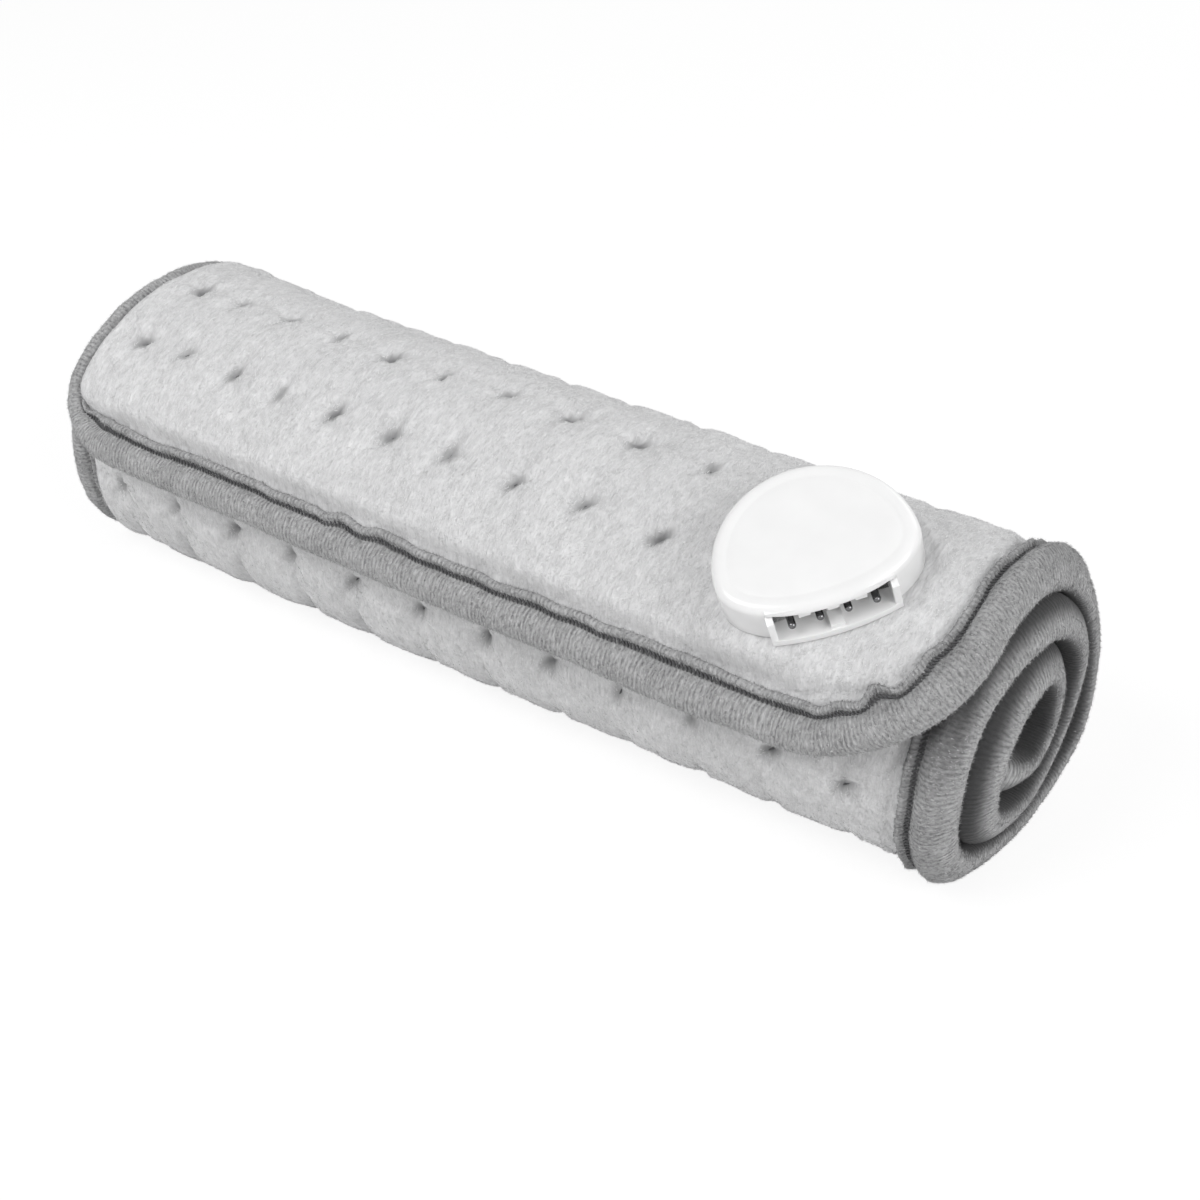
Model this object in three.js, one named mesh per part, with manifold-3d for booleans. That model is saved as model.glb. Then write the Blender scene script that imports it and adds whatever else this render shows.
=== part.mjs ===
// A rolled-up heating pad: a tufted plush pad with a bound edge, wound about three turns,
// with its loose end lying over the roll as a flap that carries a four-pin socket housing.
// Millimetres. X runs along the roll, -Y is the front where the flap ends, Z is up.
import * as THREE from 'three';
import { mergeVertices } from 'three/addons/utils/BufferGeometryUtils.js';
import Module from 'manifold-3d';

const wasm = await Module();
wasm.setup();

// Pad, laid flat
const PAD_WIDTH = 312;
const CORNER_LEFT = 25;
const CORNER_RIGHT = 45;
const TUFTS_PER_ROW = 13;
const TUFT_PITCH = 21.8;
const TUFT_SHIFT = -3.7;
const TUFT_DEPTH = 3.4;
const TUFT_RADIUS = 6.5;
const ROW_PITCH = 25.9;
const FIRST_ROW = 39;
const FLAP_ROWS = 3;

// Layers, from the plush face to the plush back
const FACE_THICKNESS = 4.4;
const FELT_THICKNESS = 0.8;
const WIRE_DIAMETER = 1.6;
const BACK_THICKNESS = 1.8;
const LAYER_GAP = 0.4;
const WIRE_GAP = 0.5;

// Bound edge
const BINDING_WIDTH = 12.5;
const BINDING_CROWN = 4;
const BINDING_ROUNDNESS = 0.6;
const BINDING_GAP = 0.9;
const EDGE_TUCK = 4;
const EDGE_FACE = 2;
const EDGE_BACK = 2.3;
const EDGE_SHOULDER = 7.5;
const FELT_INSET = 26;

// Roll
const OUTER_RADIUS = 53.4;
const HOLLOW_RADIUS = 5.2;
const ROLL_WIDEN = 1.02;
const ROLL_SQUASH = 0.96;
const SETTLE = 0.6;
const EDGE_ANGLE = THREE.MathUtils.degToRad(82.5);
const TURN_GAP = 0.9;
const DRIFT_PER_TURN = 5;
const REST_CUT = 0.5;
const SPLIT_GAP = 0.4;

// Heating wire
const WIRE_MARGIN = 4;
const WIRE_CORNER = 6;
const RUN_PAST_TUFTS = 6.5;
const FLAP_RUN_END = 60;

// Socket housing
const HOUSING_FROM_END = 47.5;
const HOUSING_FROM_EDGE = 42.5;
const HOUSING_TURN = THREE.MathUtils.degToRad(43.5);
const HOUSING_WIDTH = 53;
const HOUSING_FRONT = 15.5;
const HOUSING_BACK = 28;
const HOUSING_HEIGHT = 12;
const HOUSING_WALL = 1.8;
const HOUSING_FILLET = 2.4;
const FRONT_SQUARENESS = 2.1;
const BASE_THICKNESS = 2.2;
const FIT = 0.3;
const TUFT_CLEAR = 44;
const PLUSH_BLEND = 14;

// Socket mouth
const PIN_SIDE_ROOM = 4.2;
const CHEEK_WALL = 1.5;
const MOUTH_HEIGHT = 9.8;
const CHEEK_REACH = 2.8;
const TONGUE_REACH = 1.8;
const KEY_WIDTH = 3.6;
const KEY_HEIGHT = 1.4;
const TAB_WIDTH = 3;
const TAB_DROP = 1;
const TAB_DEPTH = 2;
const BROW_SETBACK = 1.2;
const BROW_THICKNESS = 1.4;
const KEY_SETBACK = 0.6;

// Contacts
const PIN_COUNT = 4;
const PIN_PITCH = 7.2;
const PIN_DIAMETER = 2;
const PIN_REACH = 9;
const PIN_TAIL = 3;
const PIN_HEIGHT = 5.8;
const CARRIER_SETBACK = 9;
const CARRIER_DEPTH = 6;
const CARRIER_HEIGHT = 7;
const LEAD_DIAMETER = 1.2;
const SLEEVE_DIAMETER = 3.2;
const SLEEVE_LENGTH = 4.5;
const SLEEVE_SETBACK = 2.6;

// Fixing of the housing through the plush
const BACKING_THICKNESS = 1.2;
const BACKING_INSET = 4;
const CLAMPED_PLUSH = 0.9;
const SCREW_DIAMETER = 2.9;
const SCREW_HEAD_DIAMETER = 5.5;
const SCREW_HEAD = 1;
const BOSS_DIAMETER = 7;
const BASE_BOSS_HEIGHT = 5;
const SCREW_DEPTH = 9.4;
const SCREW_FROM_SIDE = 8;
const SIDE_SCREW_BACK = 6;
const SCREW_FROM_BACK = 5.6;
const SLOT_LENGTH = 14;
const SLOT_WIDTH = 3.6;
const SLOT_BACK = 15.5;

// Fineness of the mesh
const STATION_STEP = THREE.MathUtils.degToRad(15);
const ARC_POINTS = 6;
const TURN_POINTS = 2;
const OUTLINE_POINTS = 44;
const ROUND_SIDES = 16;
const WIRE_SIDES = 5;
const WIRE_STEP = 7;
const REST_STEP = 0.2;
const FLAP_COLUMNS = 4;
const FLAP_GRID_ROWS = 3;
const ROLL_COLUMNS = 2;
const ROLL_ROWS = 3;
const SHOWN_SWEEP = THREE.MathUtils.degToRad(395);
const SPINE_DIVISIONS = 2400;
const STATION_CLEAR = 1.5;
const LINE_CLEAR = 2;
const REST_CLEAR = 3;
const SIDE_ARM_STEPS = 1;
const END_ARM_STEPS = 5;
const FILLET_STEPS = 3;
const TONGUE_STEPS = 10;
const PIN_SIDES = 10;
const NOSE_STEPS = 3;
const LEAD_STEPS = 8;
const SAME_POINT = 0.01;
const CUT_PAST = 1;

// Worked out from the sizes above
const WIRE_ROOM = WIRE_DIAMETER + 2 * WIRE_GAP;
const PAD_THICKNESS = FACE_THICKNESS + 2 * FELT_THICKNESS + WIRE_ROOM + BACK_THICKNESS + 2 * LAYER_GAP;
const FACE_TOP = PAD_THICKNESS / 2;
const FACE_BOTTOM = FACE_TOP - FACE_THICKNESS;
const UPPER_FELT_TOP = FACE_BOTTOM - LAYER_GAP;
const UPPER_FELT_BOTTOM = UPPER_FELT_TOP - FELT_THICKNESS;
const WIRE_LEVEL = UPPER_FELT_BOTTOM - WIRE_ROOM / 2;
const LOWER_FELT_TOP = UPPER_FELT_BOTTOM - WIRE_ROOM;
const LOWER_FELT_BOTTOM = LOWER_FELT_TOP - FELT_THICKNESS;
const BACK_TOP = LOWER_FELT_BOTTOM - LAYER_GAP;
const BACK_BOTTOM = BACK_TOP - BACK_THICKNESS;
const EDGE_TOP = FACE_BOTTOM + EDGE_FACE;
const EDGE_BACK_TOP = FACE_BOTTOM - BINDING_GAP;
const EDGE_BOTTOM = EDGE_BACK_TOP - EDGE_BACK;
const SHOULDER_START = BINDING_WIDTH + BINDING_GAP;
const SHOULDER_END = SHOULDER_START + EDGE_SHOULDER;
const HALF_WIDTH = PAD_WIDTH / 2;
const TURN_PITCH = (PAD_THICKNESS + TURN_GAP) / ROLL_SQUASH;
const SPINE_START = OUTER_RADIUS - PAD_THICKNESS / 2;
const SPINE_END = HOLLOW_RADIUS + PAD_THICKNESS / 2;
const ROLL_SWEEP = ((SPINE_START - SPINE_END) / TURN_PITCH) * 2 * Math.PI;
const FLAP_LENGTH = FIRST_ROW + (FLAP_ROWS - 0.5) * ROW_PITCH;
const MOUTH_WIDTH = (PIN_COUNT - 1) * PIN_PITCH + 2 * PIN_SIDE_ROOM;
const MOUTH_OUTER = MOUTH_WIDTH / 2 + CHEEK_WALL;
const SCREW_SPREAD = HOUSING_WIDTH / 2 - SCREW_FROM_SIDE;
const REAR_SCREW_BACK = HOUSING_BACK - SCREW_FROM_BACK;

const radiusAt = (sweep) => SPINE_START - (TURN_PITCH * sweep) / (2 * Math.PI);

// Height under the middle of the roll: each turn settles level and flatter towards its lowest line
function settledHeight(sweep, rise) {
  const turn = Math.round((sweep - EDGE_ANGLE - Math.PI) / (2 * Math.PI));
  const lowest = EDGE_ANGLE + Math.PI + turn * 2 * Math.PI;
  return (radiusAt(lowest) * rise * (1 + SETTLE)) / (1 - SETTLE * rise);
}

// The pad's middle surface seen from the end: a squashed spiral from the flap's edge inwards
class RollCurve extends THREE.Curve {
  getPoint(t, target = new THREE.Vector3()) {
    const sweep = t * ROLL_SWEEP;
    const angle = EDGE_ANGLE - sweep;
    const rise = Math.cos(angle);
    const height = rise < 0 ? settledHeight(sweep, rise) : radiusAt(sweep) * rise;
    return target.set(0, -ROLL_WIDEN * radiusAt(sweep) * Math.sin(angle), ROLL_SQUASH * height);
  }
}

const spine = new RollCurve();
spine.arcLengthDivisions = SPINE_DIVISIONS;
const PAD_LENGTH = spine.getLength();

// Distance along the pad from the flap's edge to a sweep of the spiral
function lengthAt(sweep) {
  const lengths = spine.getLengths();
  const index = (sweep / ROLL_SWEEP) * (lengths.length - 1);
  const low = Math.min(Math.floor(index), lengths.length - 2);
  return THREE.MathUtils.lerp(lengths[low], lengths[low + 1], index - low);
}

// Sideways drift of the inner turns, so that they stand out of the roll's right end
function drift(sweep) {
  const hinge = spine.getUtoTmapping(FLAP_LENGTH / PAD_LENGTH) * ROLL_SWEEP;
  return (Math.max(0, sweep - hinge) * DRIFT_PER_TURN) / (2 * Math.PI);
}

// A point of the pad from its place on the flat pad: across, along from the flap's edge, and out of the face
function placeFreely(x, s, n) {
  const t = spine.getUtoTmapping(THREE.MathUtils.clamp(s / PAD_LENGTH, 0, 1));
  const point = spine.getPoint(t);
  const along = spine.getTangent(t);
  return new THREE.Vector3(x + drift(t * ROLL_SWEEP), point.y - along.z * n, point.z + along.y * n);
}

// The lowest line of the roll, where it is pressed flat by its own weight
function findRest() {
  let lowest = { s: 0, z: Infinity };
  for (let s = FLAP_LENGTH; s < lengthAt(2 * Math.PI); s += REST_STEP) {
    const z = placeFreely(0, s, FACE_TOP).z;
    if (z < lowest.z) lowest = { s, z };
  }
  return lowest;
}

const REST = findRest();
const REST_LEVEL = REST.z + REST_CUT;

function place(x, s, n) {
  const point = placeFreely(x, s, n);
  point.z = Math.max(point.z, REST_LEVEL);
  return point;
}

// Half the length along the pad that lies flat on the surface below
function restHalfLength() {
  const below = (s) => placeFreely(0, s, FACE_TOP).z < REST_LEVEL;
  let half = 0;
  while (below(REST.s - half - REST_STEP) && below(REST.s + half + REST_STEP)) half += REST_STEP;
  return half;
}

const REST_HALF = restHalfLength();

// Where the housing sits, and the turn that sets it on the pad
const HOUSING_X = HALF_WIDTH - HOUSING_FROM_END;
const housingSeat = placeFreely(HOUSING_X, HOUSING_FROM_EDGE, FACE_TOP + FIT);
const seatNormal = housingSeat.clone().sub(placeFreely(HOUSING_X, HOUSING_FROM_EDGE, 0)).normalize();
const HOUSING_TILT = Math.atan2(-seatNormal.y, seatNormal.z);

function housingFrame() {
  const frame = new THREE.Group();
  frame.position.copy(housingSeat);
  frame.rotation.set(HOUSING_TILT, 0, HOUSING_TURN, 'XYZ');
  frame.updateMatrixWorld();
  return frame;
}

const housingPlace = housingFrame();

// Closed geometry from a list of triangles, turned to face outwards
function solidFrom(triangles) {
  let volume = 0;
  for (const [a, b, c] of triangles) volume += a.dot(b.clone().cross(c));
  const positions = [];
  for (const [a, b, c] of triangles) {
    const corners = volume > 0 ? [a, b, c] : [a, c, b];
    for (const corner of corners) positions.push(corner.x, corner.y, corner.z);
  }
  const geometry = new THREE.BufferGeometry();
  geometry.setAttribute('position', new THREE.Float32BufferAttribute(positions, 3));
  return mergeVertices(geometry);
}

// How far along its row a point lies, 0 to 1
function shareAlong(row, index) {
  return row[index].distanceTo(row[0]) / row.at(-1).distanceTo(row[0]);
}

// Triangles between two rows of points that run the same way and may differ in number
function zip(first, second, triangles) {
  let i = 0;
  let j = 0;
  while (i < first.length - 1 || j < second.length - 1) {
    const nextFirst = i < first.length - 1 ? shareAlong(first, i + 1) : Infinity;
    const nextSecond = j < second.length - 1 ? shareAlong(second, j + 1) : Infinity;
    if (nextFirst <= nextSecond) {
      triangles.push([first[i], first[i + 1], second[j]]);
      i += 1;
    } else {
      triangles.push([first[i], second[j + 1], second[j]]);
      j += 1;
    }
  }
}

// A closed sheet between an upper and a lower skin, each a list of rows of points
function sheet(upper, lower) {
  const triangles = [];
  const last = upper.length - 1;
  for (let i = 0; i < last; i += 1) {
    zip(upper[i], upper[i + 1], triangles);
    zip(lower[i + 1], lower[i], triangles);
    zip([upper[i][0], upper[i + 1][0]], [lower[i][0], lower[i + 1][0]], triangles);
    zip([lower[i].at(-1), lower[i + 1].at(-1)], [upper[i].at(-1), upper[i + 1].at(-1)], triangles);
  }
  zip(lower[0], upper[0], triangles);
  zip(upper[last], lower[last], triangles);
  return solidFrom(triangles);
}

// A closed bar through rings of points that have one flat section in common
function sweep(rings, section) {
  const triangles = [];
  const caps = THREE.ShapeUtils.triangulateShape(section, []);
  const size = section.length;
  for (let i = 0; i < rings.length - 1; i += 1) {
    for (let j = 0; j < size; j += 1) {
      const k = (j + 1) % size;
      triangles.push([rings[i][j], rings[i][k], rings[i + 1][k]]);
      triangles.push([rings[i][j], rings[i + 1][k], rings[i + 1][j]]);
    }
  }
  const turn = THREE.ShapeUtils.isClockWise(section) ? 1 : -1;
  for (const [a, b, c] of caps) {
    const front = [rings[0][a], rings[0][b], rings[0][c]];
    const rear = [rings.at(-1)[a], rings.at(-1)[c], rings.at(-1)[b]];
    triangles.push(turn > 0 ? front : front.reverse());
    triangles.push(turn > 0 ? rear : rear.reverse());
  }
  return solidFrom(triangles);
}

// A round wire through points, with its section carried along without twist
function wire(points, diameter) {
  const circle = [];
  for (let i = 0; i < WIRE_SIDES; i += 1) {
    const angle = (i / WIRE_SIDES) * 2 * Math.PI;
    circle.push(new THREE.Vector2(Math.cos(angle), Math.sin(angle)).multiplyScalar(diameter / 2));
  }
  const heading = (i) => {
    const before = points[Math.max(i - 1, 0)];
    const after = points[Math.min(i + 1, points.length - 1)];
    return after.clone().sub(before).normalize();
  };
  let up = new THREE.Vector3(1, 1, 1).cross(heading(0));
  const rings = points.map((point, i) => {
    const along = heading(i);
    up = up.clone().addScaledVector(along, -up.dot(along)).normalize();
    const side = along.clone().cross(up);
    return circle.map((c) => point.clone().addScaledVector(up, c.x).addScaledVector(side, c.y));
  });
  return sweep(rings, circle);
}

// Joining and cutting
function toSolid(geometry) {
  const bare = geometry.clone();
  for (const name of Object.keys(bare.attributes)) {
    if (name !== 'position') bare.deleteAttribute(name);
  }
  const merged = mergeVertices(bare);
  return new wasm.Manifold(new wasm.Mesh({
    numProp: 3,
    vertProperties: new Float32Array(merged.attributes.position.array),
    triVerts: new Uint32Array(merged.index.array),
  }));
}

function fromSolid(solid) {
  const mesh = solid.getMesh();
  const geometry = new THREE.BufferGeometry();
  geometry.setAttribute('position', new THREE.BufferAttribute(mesh.vertProperties, 3));
  geometry.setIndex(new THREE.BufferAttribute(mesh.triVerts, 1));
  return geometry;
}

function join(...geometries) {
  return fromSolid(geometries.map(toSolid).reduce((all, next) => all.add(next)));
}

function cut(geometry, ...tools) {
  return fromSolid(tools.map(toSolid).reduce((left, tool) => left.subtract(tool), toSolid(geometry)));
}

function box(x0, x1, y0, y1, z0, z1) {
  const geometry = new THREE.BoxGeometry(x1 - x0, y1 - y0, z1 - z0);
  return geometry.translate((x0 + x1) / 2, (y0 + y1) / 2, (z0 + z1) / 2);
}

// An upright round bar in the housing's own frame
function post(x, y, z0, z1, diameter) {
  const geometry = new THREE.CylinderGeometry(diameter / 2, diameter / 2, z1 - z0, ROUND_SIDES);
  return geometry.rotateX(Math.PI / 2).translate(x, y, (z0 + z1) / 2);
}

// Outline of the pad: how far the edge stands from the middle at a distance along the pad
function edgeX(s, inset, corner) {
  if (s >= corner) return HALF_WIDTH - inset;
  const reach = Math.max(corner - inset, 0);
  return HALF_WIDTH - corner + Math.sqrt(Math.max(reach ** 2 - (corner - s) ** 2, 0));
}

function edgesAt(s, inset) {
  return { left: -edgeX(s, inset, CORNER_LEFT), right: edgeX(s, inset, CORNER_RIGHT) };
}

// Distance of a point of the flat pad from the bound edge
function fromEdge(x, s) {
  const corner = x < 0 ? CORNER_LEFT : CORNER_RIGHT;
  const ends = Math.min(s, PAD_LENGTH - s);
  const across = Math.abs(x) - (HALF_WIDTH - corner);
  if (s < corner && across > 0) return corner - Math.hypot(across, corner - s);
  return Math.min(ends, HALF_WIDTH - Math.abs(x));
}

// How far the pad has filled out from its drawn-in edge, 0 to 1
function fullness(x, s) {
  return THREE.MathUtils.smoothstep(fromEdge(x, s), SHOULDER_START, SHOULDER_END);
}

// Sewn tufts near a point, as the depth that they pull the face in
const tuftAt = (index) => TUFT_SHIFT + (index - (TUFTS_PER_ROW - 1) / 2) * TUFT_PITCH;
const tuftColumns = Array.from({ length: TUFTS_PER_ROW }, (_, i) => tuftAt(i));

function isTufted(x, s) {
  return Math.hypot(x - HOUSING_X, s - HOUSING_FROM_EDGE) > TUFT_CLEAR;
}

function tuftPull(x, s) {
  const row = FIRST_ROW + Math.round((s - FIRST_ROW) / ROW_PITCH) * ROW_PITCH;
  let pull = 0;
  for (const nearRow of [row - ROW_PITCH, row, row + ROW_PITCH]) {
    if (nearRow < FIRST_ROW || nearRow > PAD_LENGTH - FELT_INSET) continue;
    for (const column of tuftColumns) {
      if (!isTufted(column, nearRow)) continue;
      const distance = Math.hypot(x - column, s - nearRow);
      pull += TUFT_DEPTH * Math.exp(-((distance / TUFT_RADIUS) ** 2));
    }
  }
  return pull;
}

// Outline of the housing: a round back and a squarer front, drawn in by an inset
function outlinePoint(angle, inset) {
  const back = Math.sin(angle) >= 0;
  const power = back ? 1 : 2 / FRONT_SQUARENESS;
  const reach = (back ? HOUSING_BACK : HOUSING_FRONT) - inset;
  const signedPower = (value) => Math.sign(value) * Math.abs(value) ** power;
  const x = (HOUSING_WIDTH / 2 - inset) * signedPower(Math.cos(angle));
  return new THREE.Vector2(x, reach * signedPower(Math.sin(angle)));
}

function housingOutline(inset) {
  const points = [];
  for (let i = 0; i < OUTLINE_POINTS; i += 1) {
    points.push(outlinePoint(((i + 0.5) / OUTLINE_POINTS) * 2 * Math.PI, inset));
  }
  return new THREE.Shape(points);
}

// How far a point lies outside the housing's outline
function outsideHousing(point) {
  const local = housingPlace.worldToLocal(point.clone());
  const across = Math.abs(local.x) / (HOUSING_WIDTH / 2);
  const reach = local.y > 0 ? HOUSING_BACK : HOUSING_FRONT;
  const power = local.y > 0 ? 2 : FRONT_SQUARENESS;
  const scale = (across ** power + (Math.abs(local.y) / reach) ** power) ** (1 / power);
  return scale <= 1 ? 0 : Math.hypot(local.x, local.y) * (1 - 1 / scale);
}

// Height of the plush face over the pad's middle surface
function faceHeight(x, s) {
  const full = fullness(x, s);
  const plain = THREE.MathUtils.lerp(EDGE_TOP, FACE_TOP, full);
  if (placeFreely(x, s, plain).z <= REST_LEVEL) return plain;
  return plain - tuftPull(x, s) * full;
}

// The same on the flap, where the plush rises to meet the underside of the housing
function flapHeight(x, s) {
  const height = faceHeight(x, s);
  const foot = placeFreely(x, s, 0);
  const out = placeFreely(x, s, 1).sub(foot);
  const seat = housingSeat.clone().addScaledVector(seatNormal, -FIT);
  const toSeat = seat.sub(foot).dot(seatNormal) / out.dot(seatNormal);
  const apart = outsideHousing(foot.clone().addScaledVector(out, toSeat));
  const blend = 1 - THREE.MathUtils.smoothstep(apart, 0, PLUSH_BLEND);
  return THREE.MathUtils.lerp(height, toSeat, blend);
}

function backTop(x, s) {
  return THREE.MathUtils.lerp(EDGE_BACK_TOP, BACK_TOP, fullness(x, s));
}

function backBottom(x, s) {
  return THREE.MathUtils.lerp(EDGE_BOTTOM, BACK_BOTTOM, fullness(x, s));
}

// Rows along the pad that all the layers share, so that they stay parallel
function stations(from, to) {
  const rows = [from];
  for (let angle = STATION_STEP; angle < ROLL_SWEEP; angle += STATION_STEP) {
    const s = lengthAt(angle);
    if (s > rows.at(-1) + STATION_CLEAR && s < to - STATION_CLEAR) rows.push(s);
  }
  return [...rows, to];
}

// Evenly spaced lines with some set lines among them; those that come too near are left out
function withRows(rows, extra, clear) {
  const kept = rows.filter((s) => extra.every((e) => Math.abs(e - s) > clear));
  return [...kept, ...extra].sort((a, b) => a - b);
}

// Points across the pad on one row, kept inside its rounded corners
function rowPoints(s, columns, inset, height) {
  const { left, right } = edgesAt(s, inset);
  const spread = 2 * (HALF_WIDTH - inset);
  return columns.map((column) => {
    const x = THREE.MathUtils.lerp(left, right, (column + HALF_WIDTH - inset) / spread);
    return place(x, s, height(x, s));
  });
}

function layer(rows, columns, inset, top, bottom) {
  const upper = rows.map((s) => rowPoints(s, columns(s), inset, top));
  const lower = rows.map((s) => rowPoints(s, edgeColumns(inset), inset, bottom));
  return sheet(upper, lower);
}

function edgeColumns(inset) {
  return [-(HALF_WIDTH - inset), HALF_WIDTH - inset];
}

// Columns where an edge draws in: at the tuck, under the binding's lip and past the shoulder
const shoulderInsets = [EDGE_TUCK, SHOULDER_START, SHOULDER_END];

function shoulderColumns(insets = shoulderInsets) {
  const outer = insets.map((d) => HALF_WIDTH - d);
  return [...outer.map((x) => -x), ...[...outer].reverse()];
}

// Columns of the tufted face, with a number of steps from one tuft to the next
function tuftedColumns(steps) {
  const step = TUFT_PITCH / steps;
  const reach = HALF_WIDTH - SHOULDER_START;
  const first = TUFT_SHIFT - Math.floor((TUFT_SHIFT + reach) / step) * step;
  const columns = [];
  for (let x = first; x < reach; x += step) columns.push(x);
  const edges = [-(HALF_WIDTH - EDGE_TUCK), -reach, reach, HALF_WIDTH - EDGE_TUCK];
  return withRows(columns, edges, step / 3);
}

function tuftedRows(from, to, steps) {
  const step = ROW_PITCH / steps;
  const rows = [];
  for (let s = FIRST_ROW - Math.floor((FIRST_ROW - from) / step) * step; s < to; s += step) rows.push(s);
  return withRows(rows, [from, to], step / 3);
}

const FLAP_END = FLAP_LENGTH - SPLIT_GAP / 2;
const ROLL_START = FLAP_LENGTH + SPLIT_GAP / 2;
const INNER_END = PAD_LENGTH - EDGE_TUCK;
const flapStations = (inset) => stations(inset, FLAP_END);
const rollStations = (inset) => stations(ROLL_START, PAD_LENGTH - inset);
const drawnIn = [SHOULDER_START, SHOULDER_END];
const drawnInEnd = drawnIn.map((d) => PAD_LENGTH - d);

// The plush face with its wadding
function facePanelFlap() {
  const rows = withRows(tuftedRows(EDGE_TUCK, FLAP_END, FLAP_GRID_ROWS), drawnIn, LINE_CLEAR);
  const panel = layer(rows, () => tuftedColumns(FLAP_COLUMNS), EDGE_TUCK, flapHeight, () => FACE_BOTTOM);
  return cut(panel, ...plushCuts().map((tool) => tool.applyMatrix4(housingPlace.matrixWorld)));
}

function facePanelRoll() {
  const shownEnd = lengthAt(SHOWN_SWEEP);
  const shown = tuftedRows(ROLL_START, shownEnd, ROLL_ROWS);
  const rested = withRows(shown, [REST.s - REST_HALF, REST.s, REST.s + REST_HALF], REST_CLEAR);
  const hidden = withRows(stations(shownEnd, INNER_END), drawnInEnd, LINE_CLEAR);
  const rows = [...rested, ...hidden.slice(1)];
  const columns = (s) => (s <= shownEnd ? tuftedColumns(ROLL_COLUMNS) : shoulderColumns());
  const height = (x, s) => (s <= shownEnd ? faceHeight(x, s) : plainHeight(x, s));
  return layer(rows, columns, EDGE_TUCK, height, () => FACE_BOTTOM);
}

function plainHeight(x, s) {
  return THREE.MathUtils.lerp(EDGE_TOP, FACE_TOP, fullness(x, s));
}

// The thin plush back
function backPanel(rows, columns) {
  const upper = rows.map((s) => rowPoints(s, columns, EDGE_TUCK, backTop));
  const lower = rows.map((s) => rowPoints(s, columns, EDGE_TUCK, backBottom));
  return sheet(upper, lower);
}

function backPanelFlap() {
  const cornerInsets = [(SHOULDER_END + CORNER_RIGHT) / 2, CORNER_RIGHT];
  const columns = shoulderColumns([...shoulderInsets, ...cornerInsets]);
  return backPanel(withRows(flapStations(EDGE_TUCK), drawnIn, LINE_CLEAR), columns);
}

function backPanelRoll() {
  return backPanel(withRows(rollStations(EDGE_TUCK), drawnInEnd, LINE_CLEAR), shoulderColumns());
}

// The two felts that carry the heating wire between them
function felt(rows, top, bottom) {
  return layer(rows, () => edgeColumns(FELT_INSET), FELT_INSET, () => top, () => bottom);
}

function upperFeltFlap() {
  const plain = felt(flapStations(FELT_INSET), UPPER_FELT_TOP, UPPER_FELT_BOTTOM);
  return cut(plain, wireSlot().applyMatrix4(housingPlace.matrixWorld));
}

// Section of the folded binding: distance in from the edge, and height over the middle surface
function bindingSection(armSteps) {
  const outer = [];
  for (let i = 0; i <= ARC_POINTS; i += 1) {
    const angle = Math.PI / 2 - (i / ARC_POINTS) * Math.PI;
    const round = (value) => Math.sign(value) * Math.abs(value) ** BINDING_ROUNDNESS;
    const d = BINDING_CROWN * (1 - round(Math.cos(angle)));
    outer.push(new THREE.Vector2(d, FACE_TOP * round(Math.sin(angle))));
  }
  const arm = (from, to, n) => {
    const points = [];
    for (let i = 0; i <= armSteps; i += 1) {
      points.push(new THREE.Vector2(THREE.MathUtils.lerp(from, to, i / armSteps), n));
    }
    return points;
  };
  const throat = EDGE_TUCK - BINDING_GAP - LAYER_GAP;
  const inner = [
    ...arm(BINDING_WIDTH, throat, EDGE_BOTTOM - BINDING_GAP),
    ...arm(throat, BINDING_WIDTH, EDGE_TOP + BINDING_GAP),
  ];
  const over = arm(BINDING_WIDTH, BINDING_CROWN, FACE_TOP).slice(0, -1);
  const under = arm(BINDING_CROWN, BINDING_WIDTH, -FACE_TOP).slice(1);
  over[0].y -= EDGE_FACE / 2;
  under.at(-1).y += EDGE_FACE / 2;
  return [...over, ...outer, ...under, ...inner];
}

// The binding round the flap: up one side, round both corners and down the other side
function edgeBindingFlap() {
  const outline = [];
  const sides = stations(CORNER_LEFT, FLAP_END).reverse();
  for (const s of sides) outline.push({ x: -HALF_WIDTH, s, out: [-1, 0] });
  outline.push(...cornerPath(-1, CORNER_LEFT), ...cornerPath(1, CORNER_RIGHT));
  for (const s of stations(CORNER_RIGHT, FLAP_END)) outline.push({ x: HALF_WIDTH, s, out: [1, 0] });
  const section = bindingSection(SIDE_ARM_STEPS);
  const rings = outline.map(({ x, s, out }) => (
    section.map((p) => place(x - p.x * out[0], s - p.x * out[1], p.y))
  ));
  return sweep(rings, section);
}

function cornerPath(side, corner) {
  const path = [];
  for (let i = 1; i < ARC_POINTS; i += 1) {
    const angle = ((side < 0 ? i : ARC_POINTS - i) / ARC_POINTS) * (Math.PI / 2);
    const out = [side * Math.cos(angle), -Math.sin(angle)];
    path.push({ x: side * (HALF_WIDTH - corner) + corner * out[0], s: corner + corner * out[1], out });
  }
  const foot = { x: side * (HALF_WIDTH - corner), s: 0, out: [0, -1] };
  return side < 0 ? [...path, foot] : [foot, ...path];
}

function sideBindingRoll(side) {
  const section = bindingSection(SIDE_ARM_STEPS);
  const rings = rollStations(0).map((s) => section.map((p) => place(side * (HALF_WIDTH - p.x), s, p.y)));
  return sweep(rings, section);
}

function innerEndBinding() {
  const section = bindingSection(END_ARM_STEPS);
  const reach = HALF_WIDTH - BINDING_WIDTH - BINDING_GAP;
  const rings = [-reach, reach].map((x) => section.map((p) => place(x, PAD_LENGTH - p.x, p.y)));
  return sweep(rings, rings[0].map((p) => new THREE.Vector2(p.y, p.z)));
}

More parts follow.
